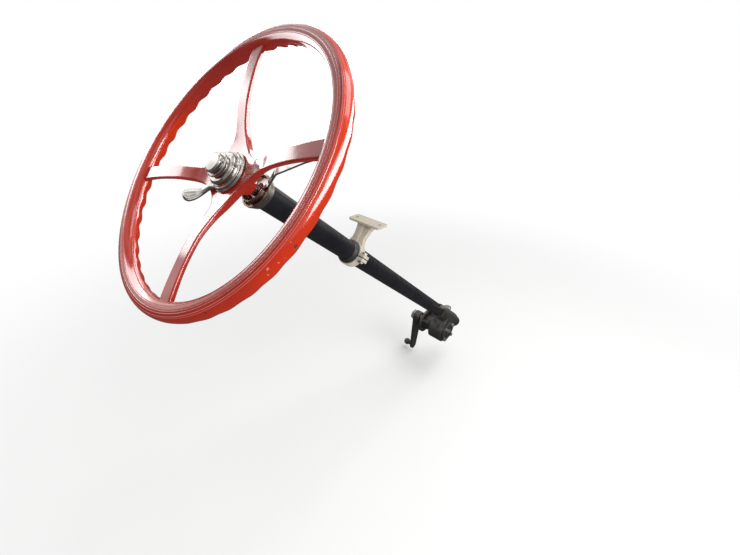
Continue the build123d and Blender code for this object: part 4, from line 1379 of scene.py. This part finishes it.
@dataclass(frozen=True)
class Lamp:
    """A soft rectangular lamp: metres in the row frame, and watts."""

    name: str
    place: tuple[float, float, float]
    aim: Direction
    width: float
    height: float
    power: float
    # whether it only shows in the glossy red pieces and throws no soft light
    mirrored: bool = False

    def hang(self, receivers: bpy.types.Collection) -> None:
        """Add the lamp to the scene.

        Args:
            receivers: The pieces that a mirrored lamp shows in.
        """
        data = bpy.data.lights.new(self.name, "AREA")
        data.shape, data.size, data.size_y = "RECTANGLE", self.width, self.height
        data.energy = self.power
        lamp = linked(self.name, data)
        lamp.visible_camera = False
        lamp.visible_diffuse = not self.mirrored
        if self.mirrored:
            lamp.light_linking.receiver_collection = receivers
        turn = Vector(self.aim).to_track_quat("-Z", "Y").to_matrix().to_4x4()
        lamp.matrix_world = Matrix.Translation(Vector(self.place)) @ turn


LAMPS = (
    Lamp("left_strip", (-0.37, -0.41, 0.92), (1.0, 0.0, 0.0), 1.35, 0.33, 10.0, mirrored=True),
    Lamp("right_strip", (1.23, 0.01, 1.13), (-0.77, -0.64, -0.25), 3.3, 0.7, 110.0, mirrored=True),
    Lamp("side_lamp", (2.4, -0.2, 1.7), (-2.3, -0.6, -0.95), 1.6, 1.4, 34.0),
    Lamp("top_lamp", (0.6, 0.8, 3.2), (-0.5, -1.6, -2.4), 1.6, 1.6, 30.0),
)


@dataclass
class Studio:
    """Pale floor, soft light and the photograph's camera."""

    axes: ColumnAxes
    # the floor lies this far below the lowest piece, and fades to white from clear_floor out
    floor_drop: float = 0.02
    floor_size: float = 60.0
    clear_floor: float = 0.6
    floor_rough: float = 0.75
    floor_tones: tuple[Colour, Colour] = ((0.88, 0.88, 0.875), (0.91, 0.91, 0.905))
    # the camera's place from the rim's middle, millimetres in the column's axes
    camera_place: tuple[float, float, float] = (471.1, -52.2, 228.4)
    heading: float = 40.795
    dip: float = 30.477
    roll: float = 3.284
    lens: float = 15.94
    sensor: float = 36.0
    clip: Span = (0.01, 200.0)
    # soft light of the surround, from its dim side to its bright side
    bright_side: Direction = (0.72, 0.3, 0.62)
    soft: Span = (0.16, 0.85)
    # what metal reflects: broad dark and bright patches, a bright pane, a dark end, and the ground
    patches: Span = (0.35, 1.15)
    pane: Direction = (-0.92, -0.1, 0.38)
    pane_strength: float = 0.7
    dark_end: Direction = (0.0, -1.0, 0.0)
    dark_share: float = 0.3
    ground: float = 0.08

    def __post_init__(self) -> None:
        """Start the collection of the pieces that the strips show in."""
        self.moulded = bpy.data.collections.new("moulded")

    def camera(self) -> None:
        """Set the camera: it looks level along +Y, then is dipped, turned and rolled."""
        data = bpy.data.cameras.new("camera")
        data.lens, data.sensor_width = self.lens, self.sensor
        data.clip_start, data.clip_end = self.clip
        turn = (
            Matrix.Rotation(math.radians(self.heading), 4, "Z")
            @ Matrix.Rotation(math.radians(90 - self.dip), 4, "X")
            @ Matrix.Rotation(math.radians(self.roll), 4, "Z")
        )
        camera = linked("camera", data)
        camera.matrix_world = Matrix.Translation(Vector(self.axes.place(*self.camera_place))) @ turn
        bpy.context.scene.camera = camera

    def floor(self) -> None:
        """Lay the pale floor just below the lowest piece."""
        height, half = CAD_BOX[0][2] - self.floor_drop, self.floor_size / 2
        corners = [(-half, -half), (half, -half), (half, half), (-half, half)]
        mesh = bpy.data.meshes.new("floor")
        mesh.from_pydata([(x, y, height) for x, y in corners], [], [(0, 1, 2, 3)])
        floor = linked("floor", mesh)
        paint = bpy.data.materials.new("floor_paint")
        paint.use_nodes = True
        g, nodes = Graph(paint.node_tree), paint.node_tree.nodes
        shader = nodes["Principled BSDF"]
        g.feed(shader.inputs["Base Color"], g.mix(g.noise(3.0, detail=4.0), *self.floor_tones))
        g.feed(shader.inputs["Roughness"], self.floor_rough)
        glow = g.add("ShaderNodeEmission", {"Color": WHITE, "Strength": 1.0})
        far = g.span(g.vector("LENGTH", g.position()), self.clear_floor, 4.0 * self.clear_floor)
        blend = g.add("ShaderNodeMixShader", {0: far, 1: shader.outputs[0], 2: glow.outputs[0]})
        g.feed(nodes["Material Output"].inputs["Surface"], blend.outputs[0])
        mesh.materials.append(paint)
        floor.visible_glossy = False

    def shine_on(self, names: Sequence[str]) -> None:
        """Let the two strips show in these pieces and in no others."""
        for name in names:
            self.moulded.objects.link(bpy.data.objects[name])

    def world(self) -> None:
        """Make a surround that is white to the camera, dark below in reflections, and soft as light."""
        world = bpy.data.worlds.new("surround")
        world.use_nodes = True
        bpy.context.scene.world = world
        g = Graph(world.node_tree)
        rays = g.add("ShaderNodeLightPath").outputs
        direction = g.add("ShaderNodeTexCoord").outputs["Generated"]

        def towards(aim: Direction, low: float, high: float, start: float, end: float) -> object:
            """Return a value that goes from start to end as a ray turns towards an aim."""
            return g.span(g.vector("DOT_PRODUCT", direction, aim), low, high, start, end)

        above = g.span(g.add("ShaderNodeSeparateXYZ", {0: direction}).outputs["Z"], low=-0.06, high=0.1)
        room = g.noise(2.4, detail=2.0, rough=0.5, vector=direction)
        room = g.span(room, 0.45, 0.56, *self.patches)
        room = g.times(room, towards(self.dark_end, low=0.58, high=0.78, start=1.0, end=self.dark_share))
        room = g.plus(room, towards(self.pane, low=0.78, high=0.86, start=0.0, end=self.pane_strength))
        soft = towards(self.bright_side, -0.9, 0.9, *self.soft)
        mirrored = g.larger(rays["Is Glossy Ray"], rays["Is Transmission Ray"])
        strength = g.mix_value(mirrored, soft, g.mix_value(above, self.ground, room))
        background = world.node_tree.nodes["Background"].inputs
        g.feed(background["Color"], WHITE)
        g.feed(background["Strength"], g.mix_value(rays["Is Camera Ray"], strength, 1.0))

    def build(self) -> None:
        """Set the camera, floor, lamps and world."""
        self.camera()
        self.floor()
        for lamp in LAMPS:
            lamp.hang(self.moulded)
        self.world()
        bpy.context.scene.view_settings.view_transform = "Standard"
        log.info("studio set")


def main() -> None:
    """Build every sub-assembly in order."""
    logging.basicConfig(level=logging.INFO, format="%(name)s %(message)s")
    axes = ColumnAxes.from_joint("wheel_turn")
    studio = Studio(axes)
    studio.build()
    rim, spider = WheelRim(axes), WheelSpider(axes)
    chips = rim.spots(((347.0, -3.0, 2.7), (313.0, 36.0, 1.6), (347.5, 30.0, 0.7), (251.0, 62.0, 0.9)))
    chips += spider.spots(((287.6, 107.0, 1.1), (284.5, 118.0, 0.9)))
    scrapes = rim.spots(((341.0, 12.0, 1.2), (338.0, 30.0, 1.5), (336.5, 9.0, 1.3), (343.0, 4.0, 0.8)))
    effects = Effects()
    recipes = {Slot.WHEEL_RED: MouldedRed(chips=chips, scrapes=scrapes), **RECIPES}
    finishes = {slot: recipe.build(effects) for slot, recipe in recipes.items()}
    looks = {Look.WARM_PLATE: WARM_PLATE.build(effects)}
    rim.build(finishes[Slot.WHEEL_RED])
    spider.build(finishes[Slot.WHEEL_RED])
    HubControls(axes).build(finishes[Slot.NICKEL])
    # the middle of each cover's outer face, and the way that it faces
    cover, outward = (113.0, 0.0, 0.0), (1.0, 0.0, 0.0)
    end_cover, down = tuple(axes.place(0.0, 0.0, -1164.0) / MM), tuple(-axes.up)
    for heads in (
        HexHeads(
            "cover_bolts", cover, outward, count=4, across=13.0, height=5.5, circle=66.0, first=45.0,
            washer=17.0, washer_height=1.6,
        ),
        HexHeads("adjuster_lock_nut", cover, outward, count=1, across=24.0, height=5.0),
        HexHeads(
            "end_cover_screws", end_cover, down, count=4, across=6.0, height=3.0, circle=47.0, first=45.0
        ),
    ):
        heads.build(finishes[Slot.STEEL])
    for row in REFINED:
        row.build(looks.get(row.look, finishes[row.slot]))
    studio.shine_on(("wheel_rim_moulding", "wheel_spider_moulding"))


if __name__ == "__main__":
    main()
